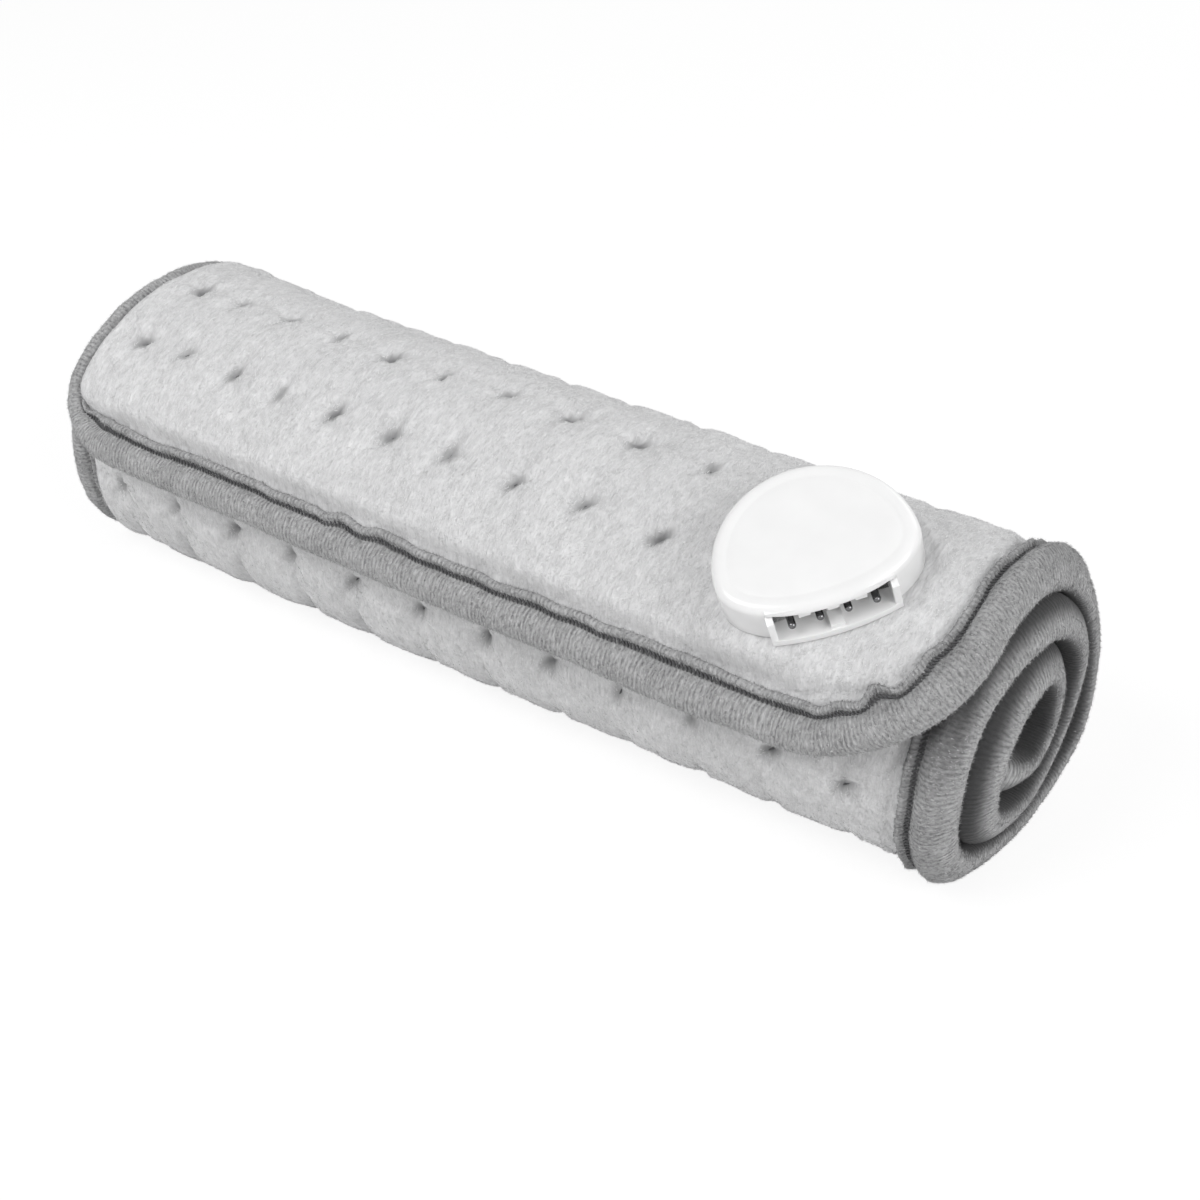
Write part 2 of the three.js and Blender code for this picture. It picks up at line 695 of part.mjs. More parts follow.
// The heating wire, drawn on the flat pad and laid between the felts
function layWire(path) {
  const flat = path.getPoints(TURN_POINTS);
  const points = [];
  for (let i = 0; i < flat.length - 1; i += 1) {
    const steps = Math.max(1, Math.ceil(Math.abs(flat[i + 1].y - flat[i].y) / WIRE_STEP));
    for (let k = 0; k < steps; k += 1) points.push(flat[i].clone().lerp(flat[i + 1], k / steps));
  }
  points.push(flat.at(-1));
  const distinct = points.filter((p, i) => i === 0 || p.distanceTo(points[i - 1]) > SAME_POINT);
  return distinct.map((p) => place(p.x, p.y, WIRE_LEVEL));
}

const runAt = (index) => FIRST_ROW + RUN_PAST_TUFTS + index * ROW_PITCH;
const WIRE_REACH = HALF_WIDTH - FELT_INSET - WIRE_MARGIN;
const RUN_TURN = ROW_PITCH / 2;
const RUN_REACH = WIRE_REACH - WIRE_MARGIN - RUN_TURN;

// One U-turn at the end of a run, towards the flap's edge
function turnBack(path, x, s, side) {
  path.absarc(x, s - RUN_TURN, RUN_TURN, Math.PI / 2, -Math.PI / 2, side > 0);
}

function heatingWireRoll() {
  const fits = Math.floor((PAD_LENGTH - FELT_INSET - WIRE_MARGIN - runAt(FLAP_ROWS)) / ROW_PITCH);
  const last = FLAP_ROWS + 2 * Math.floor(fits / 2);
  const path = new THREE.Path();
  path.moveTo(-WIRE_REACH, ROLL_START);
  path.lineTo(-WIRE_REACH, runAt(last) - WIRE_CORNER);
  path.absarc(-WIRE_REACH + WIRE_CORNER, runAt(last) - WIRE_CORNER, WIRE_CORNER, Math.PI, Math.PI / 2, true);
  let side = 1;
  for (let run = last; run > FLAP_ROWS; run -= 1) {
    turnBack(path, side * RUN_REACH, runAt(run), side);
    side = -side;
  }
  const exit = runAt(FLAP_ROWS) - WIRE_CORNER;
  path.absarc(RUN_REACH, exit, WIRE_CORNER, Math.PI / 2, 0, true);
  path.lineTo(RUN_REACH + WIRE_CORNER, ROLL_START);
  return wire(layWire(path), WIRE_DIAMETER);
}

// The slot under the housing, on the flat pad, and the way along it
const SLOT_X = HOUSING_X - SLOT_BACK * Math.sin(HOUSING_TURN);
const SLOT_S = HOUSING_FROM_EDGE + SLOT_BACK * Math.cos(HOUSING_TURN);
const SLOT_LEAD = SLOT_LENGTH / 2 + WIRE_DIAMETER;

function besideSlot(side) {
  const x = SLOT_X + side * SLOT_LEAD * Math.cos(HOUSING_TURN);
  return [x, SLOT_S + side * SLOT_LEAD * Math.sin(HOUSING_TURN)];
}

// The stretch that rises through the slot and turns to a splice sleeve
function riser(side) {
  const x = side * SLOT_LENGTH / 8;
  const depth = housingPlace.worldToLocal(place(SLOT_X, SLOT_S, WIRE_LEVEL)).z;
  const sleeve = new THREE.Vector3(side * PIN_PITCH, sleeveBack() + FIT, PIN_HEIGHT);
  const bend = new THREE.Vector3(sleeve.x, sleeve.y + WIRE_DIAMETER, PIN_HEIGHT);
  const local = [
    new THREE.Vector3(x + side * WIRE_DIAMETER, SLOT_BACK, depth + WIRE_DIAMETER / 2),
    new THREE.Vector3(x, SLOT_BACK, depth + 2 * WIRE_DIAMETER),
    new THREE.Vector3(x, SLOT_BACK, PIN_HEIGHT - WIRE_DIAMETER),
    new THREE.Vector3((x + bend.x) / 2, SLOT_BACK, PIN_HEIGHT),
    bend,
    sleeve,
  ];
  return local.map((p) => housingPlace.localToWorld(p));
}

function heatingWireFlap() {
  const [slotX, slotS] = besideSlot(-1);
  const path = new THREE.Path();
  path.moveTo(-WIRE_REACH, FLAP_END);
  path.lineTo(-WIRE_REACH, runAt(2) + WIRE_CORNER / 2);
  path.lineTo(-WIRE_REACH + WIRE_CORNER / 2, runAt(2));
  turnBack(path, FLAP_RUN_END, runAt(2), 1);
  turnBack(path, -RUN_REACH, runAt(1), -1);
  path.lineTo(slotX - WIRE_CORNER, runAt(0));
  path.lineTo(slotX, slotS);
  return wire([...layWire(path), ...riser(-1)], WIRE_DIAMETER);
}

function returnWireFlap() {
  const [slotX, slotS] = besideSlot(1);
  const path = new THREE.Path();
  path.moveTo(RUN_REACH + WIRE_CORNER, FLAP_END);
  path.lineTo(RUN_REACH + WIRE_CORNER, runAt(1));
  path.lineTo(slotX, slotS);
  return wire([...layWire(path), ...riser(1)], WIRE_DIAMETER);
}

// Places inside the housing, in its own frame: the mouth faces -Y
const roofEdge = -HOUSING_FRONT;
const carrierFront = roofEdge + CARRIER_SETBACK;
const carrierBack = carrierFront + CARRIER_DEPTH;
const carrierFoot = BASE_THICKNESS + FIT;
const roofUnder = HOUSING_HEIGHT - HOUSING_WALL;
const pinX = (index) => (index - (PIN_COUNT - 1) / 2) * PIN_PITCH;
const pinTail = carrierBack + PIN_TAIL;
const sleeveFront = pinTail + SLEEVE_SETBACK;

function sleeveBack() {
  return sleeveFront + SLEEVE_LENGTH;
}

const screwPlaces = [
  [-SCREW_SPREAD, SIDE_SCREW_BACK],
  [SCREW_SPREAD, SIDE_SCREW_BACK],
  [0, REAR_SCREW_BACK],
];

function screwHoles(z0, z1) {
  return screwPlaces.map(([x, y]) => post(x, y, z0, z1, SCREW_DIAMETER + 2 * FIT));
}

function wireSlot() {
  const half = SLOT_WIDTH / 2;
  const [front, back] = [SLOT_BACK - half, SLOT_BACK + half];
  return box(-SLOT_LENGTH / 2, SLOT_LENGTH / 2, front, back, -PAD_THICKNESS, HOUSING_HEIGHT / 2);
}

function slab(inset, z0, z1) {
  const flat = new THREE.ExtrudeGeometry(housingOutline(inset), { depth: z1 - z0, bevelEnabled: false });
  return flat.translate(0, 0, z0);
}

// The glossy upper shell: rounded rim, hollow below, cut away at the mouth, with a brow over it
function connectorCover() {
  const bevel = {
    depth: HOUSING_HEIGHT,
    bevelThickness: HOUSING_FILLET,
    bevelSize: HOUSING_FILLET,
    bevelOffset: -HOUSING_FILLET,
    bevelSegments: FILLET_STEPS,
  };
  const dome = new THREE.ExtrudeGeometry(housingOutline(0), bevel).translate(0, 0, -HOUSING_FILLET);
  const wide = HOUSING_WIDTH;
  const below = box(-wide, wide, -wide, wide, -HOUSING_HEIGHT, 0);
  const hollow = slab(HOUSING_WALL, -CUT_PAST, roofUnder);
  const mouth = MOUTH_OUTER + FIT;
  const opening = box(-mouth, mouth, -wide, carrierFront, -CUT_PAST, MOUTH_HEIGHT);
  const shell = cut(dome, below, hollow, opening);
  const bossFoot = BASE_THICKNESS + BASE_BOSS_HEIGHT + FIT;
  const bossTop = roofUnder + HOUSING_WALL / 2;
  const bosses = screwPlaces.map(([x, y]) => post(x, y, bossFoot, bossTop, BOSS_DIAMETER));
  const brow = mouthSlab(BROW_SETBACK, MOUTH_HEIGHT, MOUTH_HEIGHT + BROW_THICKNESS);
  const tabs = [];
  for (let i = 0; i < PIN_COUNT - 1; i += 1) tabs.push(coverTab((pinX(i) + pinX(i + 1)) / 2));
  const holes = screwHoles(bossFoot - CUT_PAST, SCREW_DEPTH + FIT);
  return cut(join(shell, brow, ...bosses, ...tabs), ...holes);
}

// A short rib that hangs from the brow between two pins
function coverTab(x) {
  const front = mouthFront(x, BROW_SETBACK) + FIT;
  const top = MOUTH_HEIGHT + BROW_THICKNESS / 2;
  return box(x - TAB_WIDTH / 2, x + TAB_WIDTH / 2, front, front + TAB_DEPTH, MOUTH_HEIGHT - TAB_DROP, top);
}

function outlineFront(x) {
  const across = Math.abs(x) / (HOUSING_WIDTH / 2);
  return -HOUSING_FRONT * (1 - across ** FRONT_SQUARENESS) ** (1 / FRONT_SQUARENESS);
}

// The mouth's front, which bows out between the cheeks
function mouthFront(x, setback) {
  const middle = roofEdge - TONGUE_REACH + setback;
  const side = outlineFront(MOUTH_OUTER) - CHEEK_REACH + setback;
  return middle + (side - middle) * (x / MOUTH_OUTER) ** 2;
}

// A level plate between the cheeks' outer faces, its front drawn back from the tongue's by a setback
function mouthSlab(setback, z0, z1) {
  const side = mouthFront(MOUTH_OUTER, setback);
  const plan = new THREE.Shape();
  plan.moveTo(-MOUTH_OUTER, carrierFront);
  plan.lineTo(-MOUTH_OUTER, side);
  plan.quadraticCurveTo(0, 2 * mouthFront(0, setback) - side, MOUTH_OUTER, side);
  plan.lineTo(MOUTH_OUTER, carrierFront);
  const flat = { depth: z1 - z0, bevelEnabled: false, curveSegments: TONGUE_STEPS };
  return new THREE.ExtrudeGeometry(plan, flat).translate(0, 0, z0);
}

// The base: floor, tongue and cheeks of the mouth, key rib and screw bosses
function connectorBase() {
  const plate = slab(HOUSING_WALL + FIT, 0, BASE_THICKNESS);
  const floor = mouthSlab(0, 0, BASE_THICKNESS);
  const cheekFront = mouthFront(MOUTH_OUTER, 0);
  const cheekTop = MOUTH_HEIGHT - FIT;
  const cheeks = [-1, 1].map((side) => {
    const middle = side * (MOUTH_OUTER - CHEEK_WALL / 2);
    return box(middle - CHEEK_WALL / 2, middle + CHEEK_WALL / 2, cheekFront, carrierFront, 0, cheekTop);
  });
  const keyFront = mouthFront(0, KEY_SETBACK);
  const key = box(-KEY_WIDTH / 2, KEY_WIDTH / 2, keyFront, carrierFront, 0, BASE_THICKNESS + KEY_HEIGHT);
  const bossTop = BASE_THICKNESS + BASE_BOSS_HEIGHT;
  const bosses = screwPlaces.map(([x, y]) => post(x, y, 0, bossTop, BOSS_DIAMETER));
  const solid = join(plate, floor, ...cheeks, key, ...bosses);
  return cut(solid, ...screwHoles(-CUT_PAST, bossTop + CUT_PAST), wireSlot());
}

// The block that holds the pins, standing on the base behind the mouth
function pinCarrier() {
  const half = MOUTH_WIDTH / 2 - FIT;
  const block = box(-half, half, carrierFront + FIT, carrierBack, carrierFoot, carrierFoot + CARRIER_HEIGHT);
  const holes = [];
  for (let i = 0; i < PIN_COUNT; i += 1) {
    const bore = new THREE.CylinderGeometry(1, 1, 2 * CARRIER_DEPTH, ROUND_SIDES);
    const wide = PIN_DIAMETER / 2 + FIT;
    holes.push(bore.scale(wide, 1, wide).translate(pinX(i), (carrierFront + carrierBack) / 2, PIN_HEIGHT));
  }
  return cut(block, ...holes);
}

// A round-nosed contact pin, turned about its length
function contactPin(index) {
  const radius = PIN_DIAMETER / 2;
  const length = PIN_REACH + CARRIER_DEPTH + PIN_TAIL;
  const nose = new THREE.Path();
  nose.moveTo(0, 0);
  nose.absarc(0, radius, radius, -Math.PI / 2, 0, false);
  nose.lineTo(radius, length);
  nose.lineTo(0, length);
  const pin = new THREE.LatheGeometry(nose.getPoints(NOSE_STEPS), PIN_SIDES);
  return pin.translate(pinX(index), carrierFront - PIN_REACH, PIN_HEIGHT);
}

// A lead from a pin's tail to its splice sleeve
function lead(index) {
  const side = index < PIN_COUNT / 2 ? -1 : 1;
  const sleeveX = side * PIN_PITCH;
  const spread = (Math.sign(pinX(index) - sleeveX) * (LEAD_DIAMETER + FIT)) / 2;
  const start = pinTail + FIT;
  const end = sleeveFront - FIT;
  const run = new THREE.CatmullRomCurve3([
    new THREE.Vector3(pinX(index), start, PIN_HEIGHT),
    new THREE.Vector3(pinX(index), start + SLEEVE_SETBACK / 4, PIN_HEIGHT),
    new THREE.Vector3(sleeveX + spread, end - SLEEVE_SETBACK / 4, PIN_HEIGHT),
    new THREE.Vector3(sleeveX + spread, end, PIN_HEIGHT),
  ]);
  return wire(run.getPoints(LEAD_STEPS), LEAD_DIAMETER);
}

function spliceSleeve(side) {
  const radius = SLEEVE_DIAMETER / 2;
  const profile = [
    new THREE.Vector2(0, 0),
    new THREE.Vector2(radius, 0),
    new THREE.Vector2(radius, SLEEVE_LENGTH),
    new THREE.Vector2(0, SLEEVE_LENGTH),
  ];
  return new THREE.LatheGeometry(profile, PIN_SIDES).translate(side * PIN_PITCH, sleeveFront, PIN_HEIGHT);
}

// The plate inside the pad that clamps the plush against the base
const backingTop = -2 * FIT - CLAMPED_PLUSH;
const backingFoot = backingTop - BACKING_THICKNESS;
const headTop = backingFoot - LAYER_GAP / 2;

function backingPlate() {
  const plate = slab(BACKING_INSET, backingFoot, backingTop);
  return cut(plate, ...screwHoles(backingFoot - CUT_PAST, backingTop + CUT_PAST), wireSlot());
}

function fixingScrew(index) {
  const [x, y] = screwPlaces[index];
  const head = post(x, y, headTop - SCREW_HEAD, headTop, SCREW_HEAD_DIAMETER);
  return join(head, post(x, y, headTop - SCREW_HEAD / 2, SCREW_DEPTH, SCREW_DIAMETER));
}

// What the housing's fixing takes out of the plush face
function plushCuts() {
  const pocket = slab(BACKING_INSET - FIT, backingFoot - FIT, backingTop + FIT);
  const headRoom = SCREW_HEAD_DIAMETER + 2 * FIT;
  const heads = screwPlaces.map(([x, y]) => post(x, y, headTop - SCREW_HEAD - FIT, backingTop, headRoom));
  return [pocket, ...heads, ...screwHoles(backingTop, HOUSING_HEIGHT), wireSlot()];
}

// Materials
const plush = { color: 0xc9cacb, roughness: 0.95, metalness: 0 };
const binding = { color: 0x8e8f91, roughness: 0.95, metalness: 0 };
const feltWhite = { color: 0xe6e3da, roughness: 1, metalness: 0 };
const wireCream = { color: 0xe9e2cf, roughness: 0.5, metalness: 0 };
const glossWhite = { color: 0xf6f6f6, roughness: 0.22, metalness: 0 };
const carrierWhite = { color: 0xe4e4e2, roughness: 0.5, metalness: 0 };
const nickel = { color: 0xcfcfcf, roughness: 0.2, metalness: 1 };
const steel = { color: 0x9b9da0, roughness: 0.35, metalness: 1 };
const sleeveBlack = { color: 0x26272a, roughness: 0.6, metalness: 0 };

function named(name, geometry, finish) {
  const mesh = new THREE.Mesh(geometry, new THREE.MeshStandardMaterial(finish));
  mesh.name = name;
  return mesh;
}

function makeRoll() {
  const roll = new THREE.Group();
  roll.add(
    named('face_panel_roll', facePanelRoll(), plush),
    named('upper_felt_roll', felt(rollStations(FELT_INSET), UPPER_FELT_TOP, UPPER_FELT_BOTTOM), feltWhite),
    named('heating_wire_roll', heatingWireRoll(), wireCream),
    named('lower_felt_roll', felt(rollStations(FELT_INSET), LOWER_FELT_TOP, LOWER_FELT_BOTTOM), feltWhite),
    named('back_panel_roll', backPanelRoll(), plush),
    named('left_binding_roll', sideBindingRoll(-1), binding),
    named('right_binding_roll', sideBindingRoll(1), binding),
    named('inner_end_binding', innerEndBinding(), binding),
  );
  return roll;
}

function makeFlap() {
  const flap = new THREE.Group();
  flap.add(
    named('face_panel_flap', facePanelFlap(), plush),
    named('upper_felt_flap', upperFeltFlap(), feltWhite),
    named('heating_wire_flap', heatingWireFlap(), wireCream),
    named('return_wire_flap', returnWireFlap(), wireCream),
    named('lower_felt_flap', felt(flapStations(FELT_INSET), LOWER_FELT_TOP, LOWER_FELT_BOTTOM), feltWhite),
    named('back_panel_flap', backPanelFlap(), plush),
    named('edge_binding_flap', edgeBindingFlap(), binding),
  );
  return flap;
}

function makeConnector() {
  const connector = housingFrame();
  connector.add(
    named('connector_cover', connectorCover(), glossWhite),
    named('connector_base', connectorBase(), glossWhite),
    named('pin_carrier', pinCarrier(), carrierWhite),
    named('backing_plate', backingPlate(), carrierWhite),
    named('splice_sleeve_start', spliceSleeve(-1), sleeveBlack),
    named('splice_sleeve_return', spliceSleeve(1), sleeveBlack),
  );
  for (let i = 0; i < PIN_COUNT; i += 1) {
    connector.add(named(`contact_pin_${i + 1}`, contactPin(i), nickel));
    connector.add(named(`lead_${i + 1}`, lead(i), wireCream));
  }
  screwPlaces.forEach((_, i) => connector.add(named(`fixing_screw_${i + 1}`, fixingScrew(i), steel)));
  return connector;
}

// The whole pad, moved so that it stands on Z = 0 with its box centred on the origin
function makePad() {
  const pad = new THREE.Group();
  pad.add(makeRoll(), makeFlap(), makeConnector());
  const bounds = new THREE.Box3().setFromObject(pad, true);
  const middle = bounds.getCenter(new THREE.Vector3());
  pad.position.set(-middle.x, -middle.y, -bounds.min.z);
  return pad;
}

export default makePad();
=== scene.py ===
import math

import bmesh
import bpy
import numpy as np
from mathutils import Matrix, Vector


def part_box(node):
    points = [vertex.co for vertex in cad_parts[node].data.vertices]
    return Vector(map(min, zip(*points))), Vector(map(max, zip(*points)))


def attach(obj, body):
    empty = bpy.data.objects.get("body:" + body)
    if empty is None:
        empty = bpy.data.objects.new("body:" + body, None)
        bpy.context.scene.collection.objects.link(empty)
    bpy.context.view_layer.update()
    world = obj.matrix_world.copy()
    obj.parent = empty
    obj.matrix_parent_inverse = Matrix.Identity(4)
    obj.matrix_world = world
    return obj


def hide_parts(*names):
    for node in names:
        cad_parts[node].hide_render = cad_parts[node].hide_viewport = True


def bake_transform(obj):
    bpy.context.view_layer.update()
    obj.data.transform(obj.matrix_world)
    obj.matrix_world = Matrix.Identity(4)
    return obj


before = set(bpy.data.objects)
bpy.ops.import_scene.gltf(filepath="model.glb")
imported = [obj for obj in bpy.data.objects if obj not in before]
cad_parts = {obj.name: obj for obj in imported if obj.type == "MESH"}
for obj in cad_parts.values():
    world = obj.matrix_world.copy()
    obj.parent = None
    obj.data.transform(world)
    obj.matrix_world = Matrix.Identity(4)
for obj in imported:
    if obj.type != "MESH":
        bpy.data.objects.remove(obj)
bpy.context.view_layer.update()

MM = 0.001

# The pad laid flat
PAD_WIDTH = 312 * MM
HALF_WIDTH = PAD_WIDTH / 2
CORNER_LEFT = 25 * MM
CORNER_RIGHT = 45 * MM
TUFTS_PER_ROW = 13
ROW_PITCH = 25.9 * MM
FIRST_ROW = 39 * MM
FLAP_ROWS = 3
FLAP_LENGTH = FIRST_ROW + (FLAP_ROWS - 0.5) * ROW_PITCH

# Heights over the pad's middle surface
PAD_THICKNESS = 11.2 * MM
FACE_TOP = PAD_THICKNESS / 2
EDGE_TOP = 3.2 * MM
EDGE_BOTTOM = -2.0 * MM
EDGE_TUCK = 4 * MM
RIGHT_TUCK = 7 * MM
FELT_TOP = 0.8 * MM
SHOULDER_START = 12.6 * MM
SHOULDER_END = 20.0 * MM

# The roll
OUTER_RADIUS = 53.4 * MM
HOLLOW_RADIUS = 5.2 * MM
ROLL_WIDEN = 1.02
ROLL_SQUASH = 0.96
SETTLE = 0.6
EDGE_ANGLE = math.radians(82.5)
TURN_GAP = 0.9 * MM
REST_CUT = 0.5 * MM
SPIRAL_STEPS = 6000
# How far the edges stand out sideways: distance along from the flap's edge and offset, in millimetres
LEFT_SWAY = [
    (0, -3), (20, -1.5), (40, 0.5), (60, 1.5), (80, 0), (104, -1), (150, -1), (190, -5), (215, -10),
    (240, -11.5), (262, -11), (300, -4), (345, 1), (540, 1),
]
RIGHT_SWAY = [
    (0, 0), (45, 0), (80, 1), (104, 3), (130, 7), (160, 9), (185, 8), (205, 5), (225, 1.5), (250, 0.5),
    (275, 1), (310, 5), (345, 8), (400, 8), (430, 6), (460, 7), (540, 9),
]
SWAY_SMOOTHING = 301
TURN_PITCH = (PAD_THICKNESS + TURN_GAP) / ROLL_SQUASH
SPINE_START = OUTER_RADIUS - PAD_THICKNESS / 2
SPINE_END = HOLLOW_RADIUS + PAD_THICKNESS / 2
FULL_TURN = 2 * math.pi
ROLL_SWEEP = (SPINE_START - SPINE_END) / TURN_PITCH * FULL_TURN

# The socket housing, in its own frame: X along the mouth, the mouth faces -Y, Z out of the pad
HOUSING_X = HALF_WIDTH - 47.5 * MM
HOUSING_S = 42.5 * MM
HOUSING_TURN = math.radians(43.5)
HOUSING_HALF = 26.5 * MM
HOUSING_FRONT = 15.5 * MM
HOUSING_BACK = 28 * MM
HOUSING_HEIGHT = 12 * MM
HOUSING_WALL = 1.8 * MM
HOUSING_FILLET = 2.4 * MM
FRONT_SQUARENESS = 2.1
FIT = 0.3 * MM
TUFT_CLEAR = 44 * MM
PLUSH_BLEND = 14 * MM
LEAST_FACING = 0.2


def ease(share):
    return share * share * (3 - 2 * share)


def smoothstep(value, low, high):
    return ease(np.clip((value - low) / (high - low), 0, 1))


def mix(a, b, share):
    return a + (b - a) * share


def make_noise(seed, size=512):
    """A periodic strip of smooth random values, read by distance in units of its own wavelength."""
    values = np.random.default_rng(seed).uniform(-1, 1, size)

    def read(distance):
        index = np.floor(distance).astype(int)
        return mix(values[index % size], values[(index + 1) % size], ease(distance - index))

    return read


def make_noise_plane(seed, size=128):
    """Smooth random values over a plane, read in units of its own wavelength."""
    values = np.random.default_rng(seed).uniform(-1, 1, (size, size))

    def read(u, v):
        i, j = np.floor(u).astype(int), np.floor(v).astype(int)
        a, b = ease(u - i), ease(v - j)

        def across(k):
            return mix(values[i % size, k % size], values[(i + 1) % size, k % size], a)

        return mix(across(j), across(j + 1), b)

    return read


class Roll:
    """Places points of the flat pad on the roll: across, along from the flap's edge, out of the face."""

    def __init__(self):
        sweep = np.linspace(0, ROLL_SWEEP, SPIRAL_STEPS)
        radius = self.radius_at(sweep)
        angle = EDGE_ANGLE - sweep
        rise = np.cos(angle)
        turn = np.round((sweep - EDGE_ANGLE - math.pi) / FULL_TURN)
        lowest = self.radius_at(EDGE_ANGLE + math.pi + turn * FULL_TURN)
        settled = lowest * rise * (1 + SETTLE) / (1 - SETTLE * rise)
        self.y = -ROLL_WIDEN * radius * np.sin(angle)
        self.z = ROLL_SQUASH * np.where(rise < 0, settled, radius * rise)
        steps = np.hypot(np.diff(self.y), np.diff(self.z))
        self.s = np.concatenate([[0], np.cumsum(steps)])
        self.sweep = sweep
        self.tangent_y = np.gradient(self.y, self.s)
        self.tangent_z = np.gradient(self.z, self.s)
        self.length = self.s[-1]
        self.left_sway, self.right_sway = self.sway_along(LEFT_SWAY), self.sway_along(RIGHT_SWAY)
        self.fit_to_frame()

    @staticmethod
    def radius_at(sweep):
        return SPINE_START - TURN_PITCH * sweep / FULL_TURN

    def fit_to_frame(self):
        """Moves the spiral to where the frame's own face and edge lie."""
        outer_y = self.y - self.tangent_z * FACE_TOP
        outer_z = self.z + self.tangent_y * FACE_TOP
        first_turn = (self.s > FLAP_LENGTH) & (self.sweep < FULL_TURN)
        low = np.argmin(np.where(first_turn, outer_z, np.inf))
        self.rest_s = self.s[low]
        self.y = self.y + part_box("face_panel_roll")[1].y - outer_y[first_turn].max()
        self.z = self.z - outer_z[low] - REST_CUT
        edge_low, edge_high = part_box("edge_binding_flap")
        self.middle_x = (edge_low.x + edge_high.x) / 2

    def sway_along(self, points):
        places, offsets = np.array(points).T * MM
        window = np.hanning(SWAY_SMOOTHING)
        padded = np.pad(np.interp(self.s, places, offsets), SWAY_SMOOTHING // 2, mode="edge")
        return np.convolve(padded, window / window.sum(), mode="valid")

    def sideways(self, x, s):
        """The turns don't lie quite flush: the edges stand out unevenly, and the middle stays in place."""
        left, right = np.clip(-x / HALF_WIDTH, 0, 1), np.clip(x / HALF_WIDTH, 0, 1)
        return left * np.interp(s, self.s, self.left_sway) + right * np.interp(s, self.s, self.right_sway)

    def place(self, x, s, n):
        x, s, n = np.broadcast_arrays(np.asarray(x, float), s, n)
        read = lambda table: np.interp(s, self.s, table)
        y = read(self.y) - read(self.tangent_z) * n
        z = read(self.z) + read(self.tangent_y) * n
        across = x + self.sideways(x, s) + self.middle_x
        return np.stack([across, y, np.maximum(z, 0)], axis=-1)

    def outward(self, s):
        normal = [0 * s, -np.interp(s, self.s, self.tangent_z), np.interp(s, self.s, self.tangent_y)]
        return np.stack(normal, axis=-1)


roll = Roll()


def edge_x(s, inset, corner):
    reach = max(corner - inset, 0)
    rounded = HALF_WIDTH - corner + np.sqrt(np.maximum(reach**2 - (corner - s) ** 2, 0))
    return np.where(s >= corner, HALF_WIDTH - inset, rounded)


def from_edge(x, s):
    """Distance of a point of the flat pad from its bound edge."""
    corner = np.where(x < 0, CORNER_LEFT, CORNER_RIGHT)
    across = np.abs(x) - (HALF_WIDTH - corner)
    straight = np.minimum(np.minimum(s, roll.length - s), HALF_WIDTH - np.abs(x))
    round_corner = corner - np.hypot(across, corner - s)
    return np.where((s < corner) & (across > 0), round_corner, straight)


# Shares of the tape's full width that show at the sides
LEFT_TAPE = 0.62
LEFT_PLUSH = 0.45
LOWER_LEFT_TAPE = 0.75
RIGHT_TAPE = 0.84
FRONT_BLEND = 12 * MM


def tape_share(x, s):
    """Share of the tape's width that shows at the nearest edge: on the left the plush swells over it."""
    nearer_front = smoothstep(HALF_WIDTH - np.abs(x) - s, -FRONT_BLEND, FRONT_BLEND)
    wider_below = smoothstep(s, CORNER_RIGHT, roll.rest_s)
    left, right = mix(LEFT_PLUSH, LOWER_LEFT_TAPE, wider_below), mix(RIGHT_TAPE, 1, wider_below)
    return mix(np.where(x < 0, left, right), 1, nearer_front)


def fullness(x, s):
    return smoothstep(from_edge(x, s) / tape_share(x, s), SHOULDER_START, SHOULDER_END)


# Where the tufts are sewn
TUFT_SEED = 11
TUFT_STRAY = 0.8 * MM
FLAP_TUFT_PITCH = 22.8 * MM
FLAP_TUFT_SHIFT = -10 * MM
FLAP_TUFT_CREEP = 0.33 * MM
ROLL_TUFT_PITCH = 23.5 * MM
ROLL_TUFT_SHIFT = -14.6 * MM
TUFT_MARGIN = 13 * MM
ROLL_ROW_SHIFT = 5 * MM
TUFT_STRENGTH = (0.75, 1.2)
TUFT_TURN = (0.6, 1.6)


def tuft_column(i, s):
    """Where a column of tufts crosses a row: the flap was sewn with a slightly uneven step."""
    if s < FLAP_LENGTH:
        return FLAP_TUFT_SHIFT + i * FLAP_TUFT_PITCH + i * i * FLAP_TUFT_CREEP
    return ROLL_TUFT_SHIFT + i * ROLL_TUFT_PITCH


def tuft_places():
    """Middle of each tuft on the flat pad, a little out of line, its strength and its turn."""
    random = np.random.default_rng(TUFT_SEED)
    rows = np.arange(FIRST_ROW, roll.length - FIRST_ROW, ROW_PITCH)
    half_row = TUFTS_PER_ROW // 2
    places = []
    rows[rows > FLAP_LENGTH] += ROLL_ROW_SHIFT
    for s in rows:
        for i in range(-half_row, half_row + 1):
            x = tuft_column(i, s)
            stray = random.uniform(-TUFT_STRAY, TUFT_STRAY, 2)
            strength = random.uniform(*TUFT_STRENGTH)
            turn = random.uniform(*TUFT_TURN)
            clear_of_housing = math.hypot(x - HOUSING_X, s - HOUSING_S) > TUFT_CLEAR
            if clear_of_housing and abs(x) < HALF_WIDTH - TUFT_MARGIN:
                places.append((x + stray[0], s + stray[1], strength, turn))
    return np.array(places)


tufts = tuft_places()


def housing_frame():
    seat = roll.place(HOUSING_X, HOUSING_S, FACE_TOP + FIT)
    normal = Vector(roll.outward(np.float64(HOUSING_S)))
    tilt = math.atan2(-normal.y, normal.z)
    turn = Matrix.Rotation(tilt, 4, "X") @ Matrix.Rotation(HOUSING_TURN, 4, "Z")
    return Matrix.Translation(Vector(seat)) @ turn, normal


HOUSING_PLACE, SEAT_NORMAL = housing_frame()


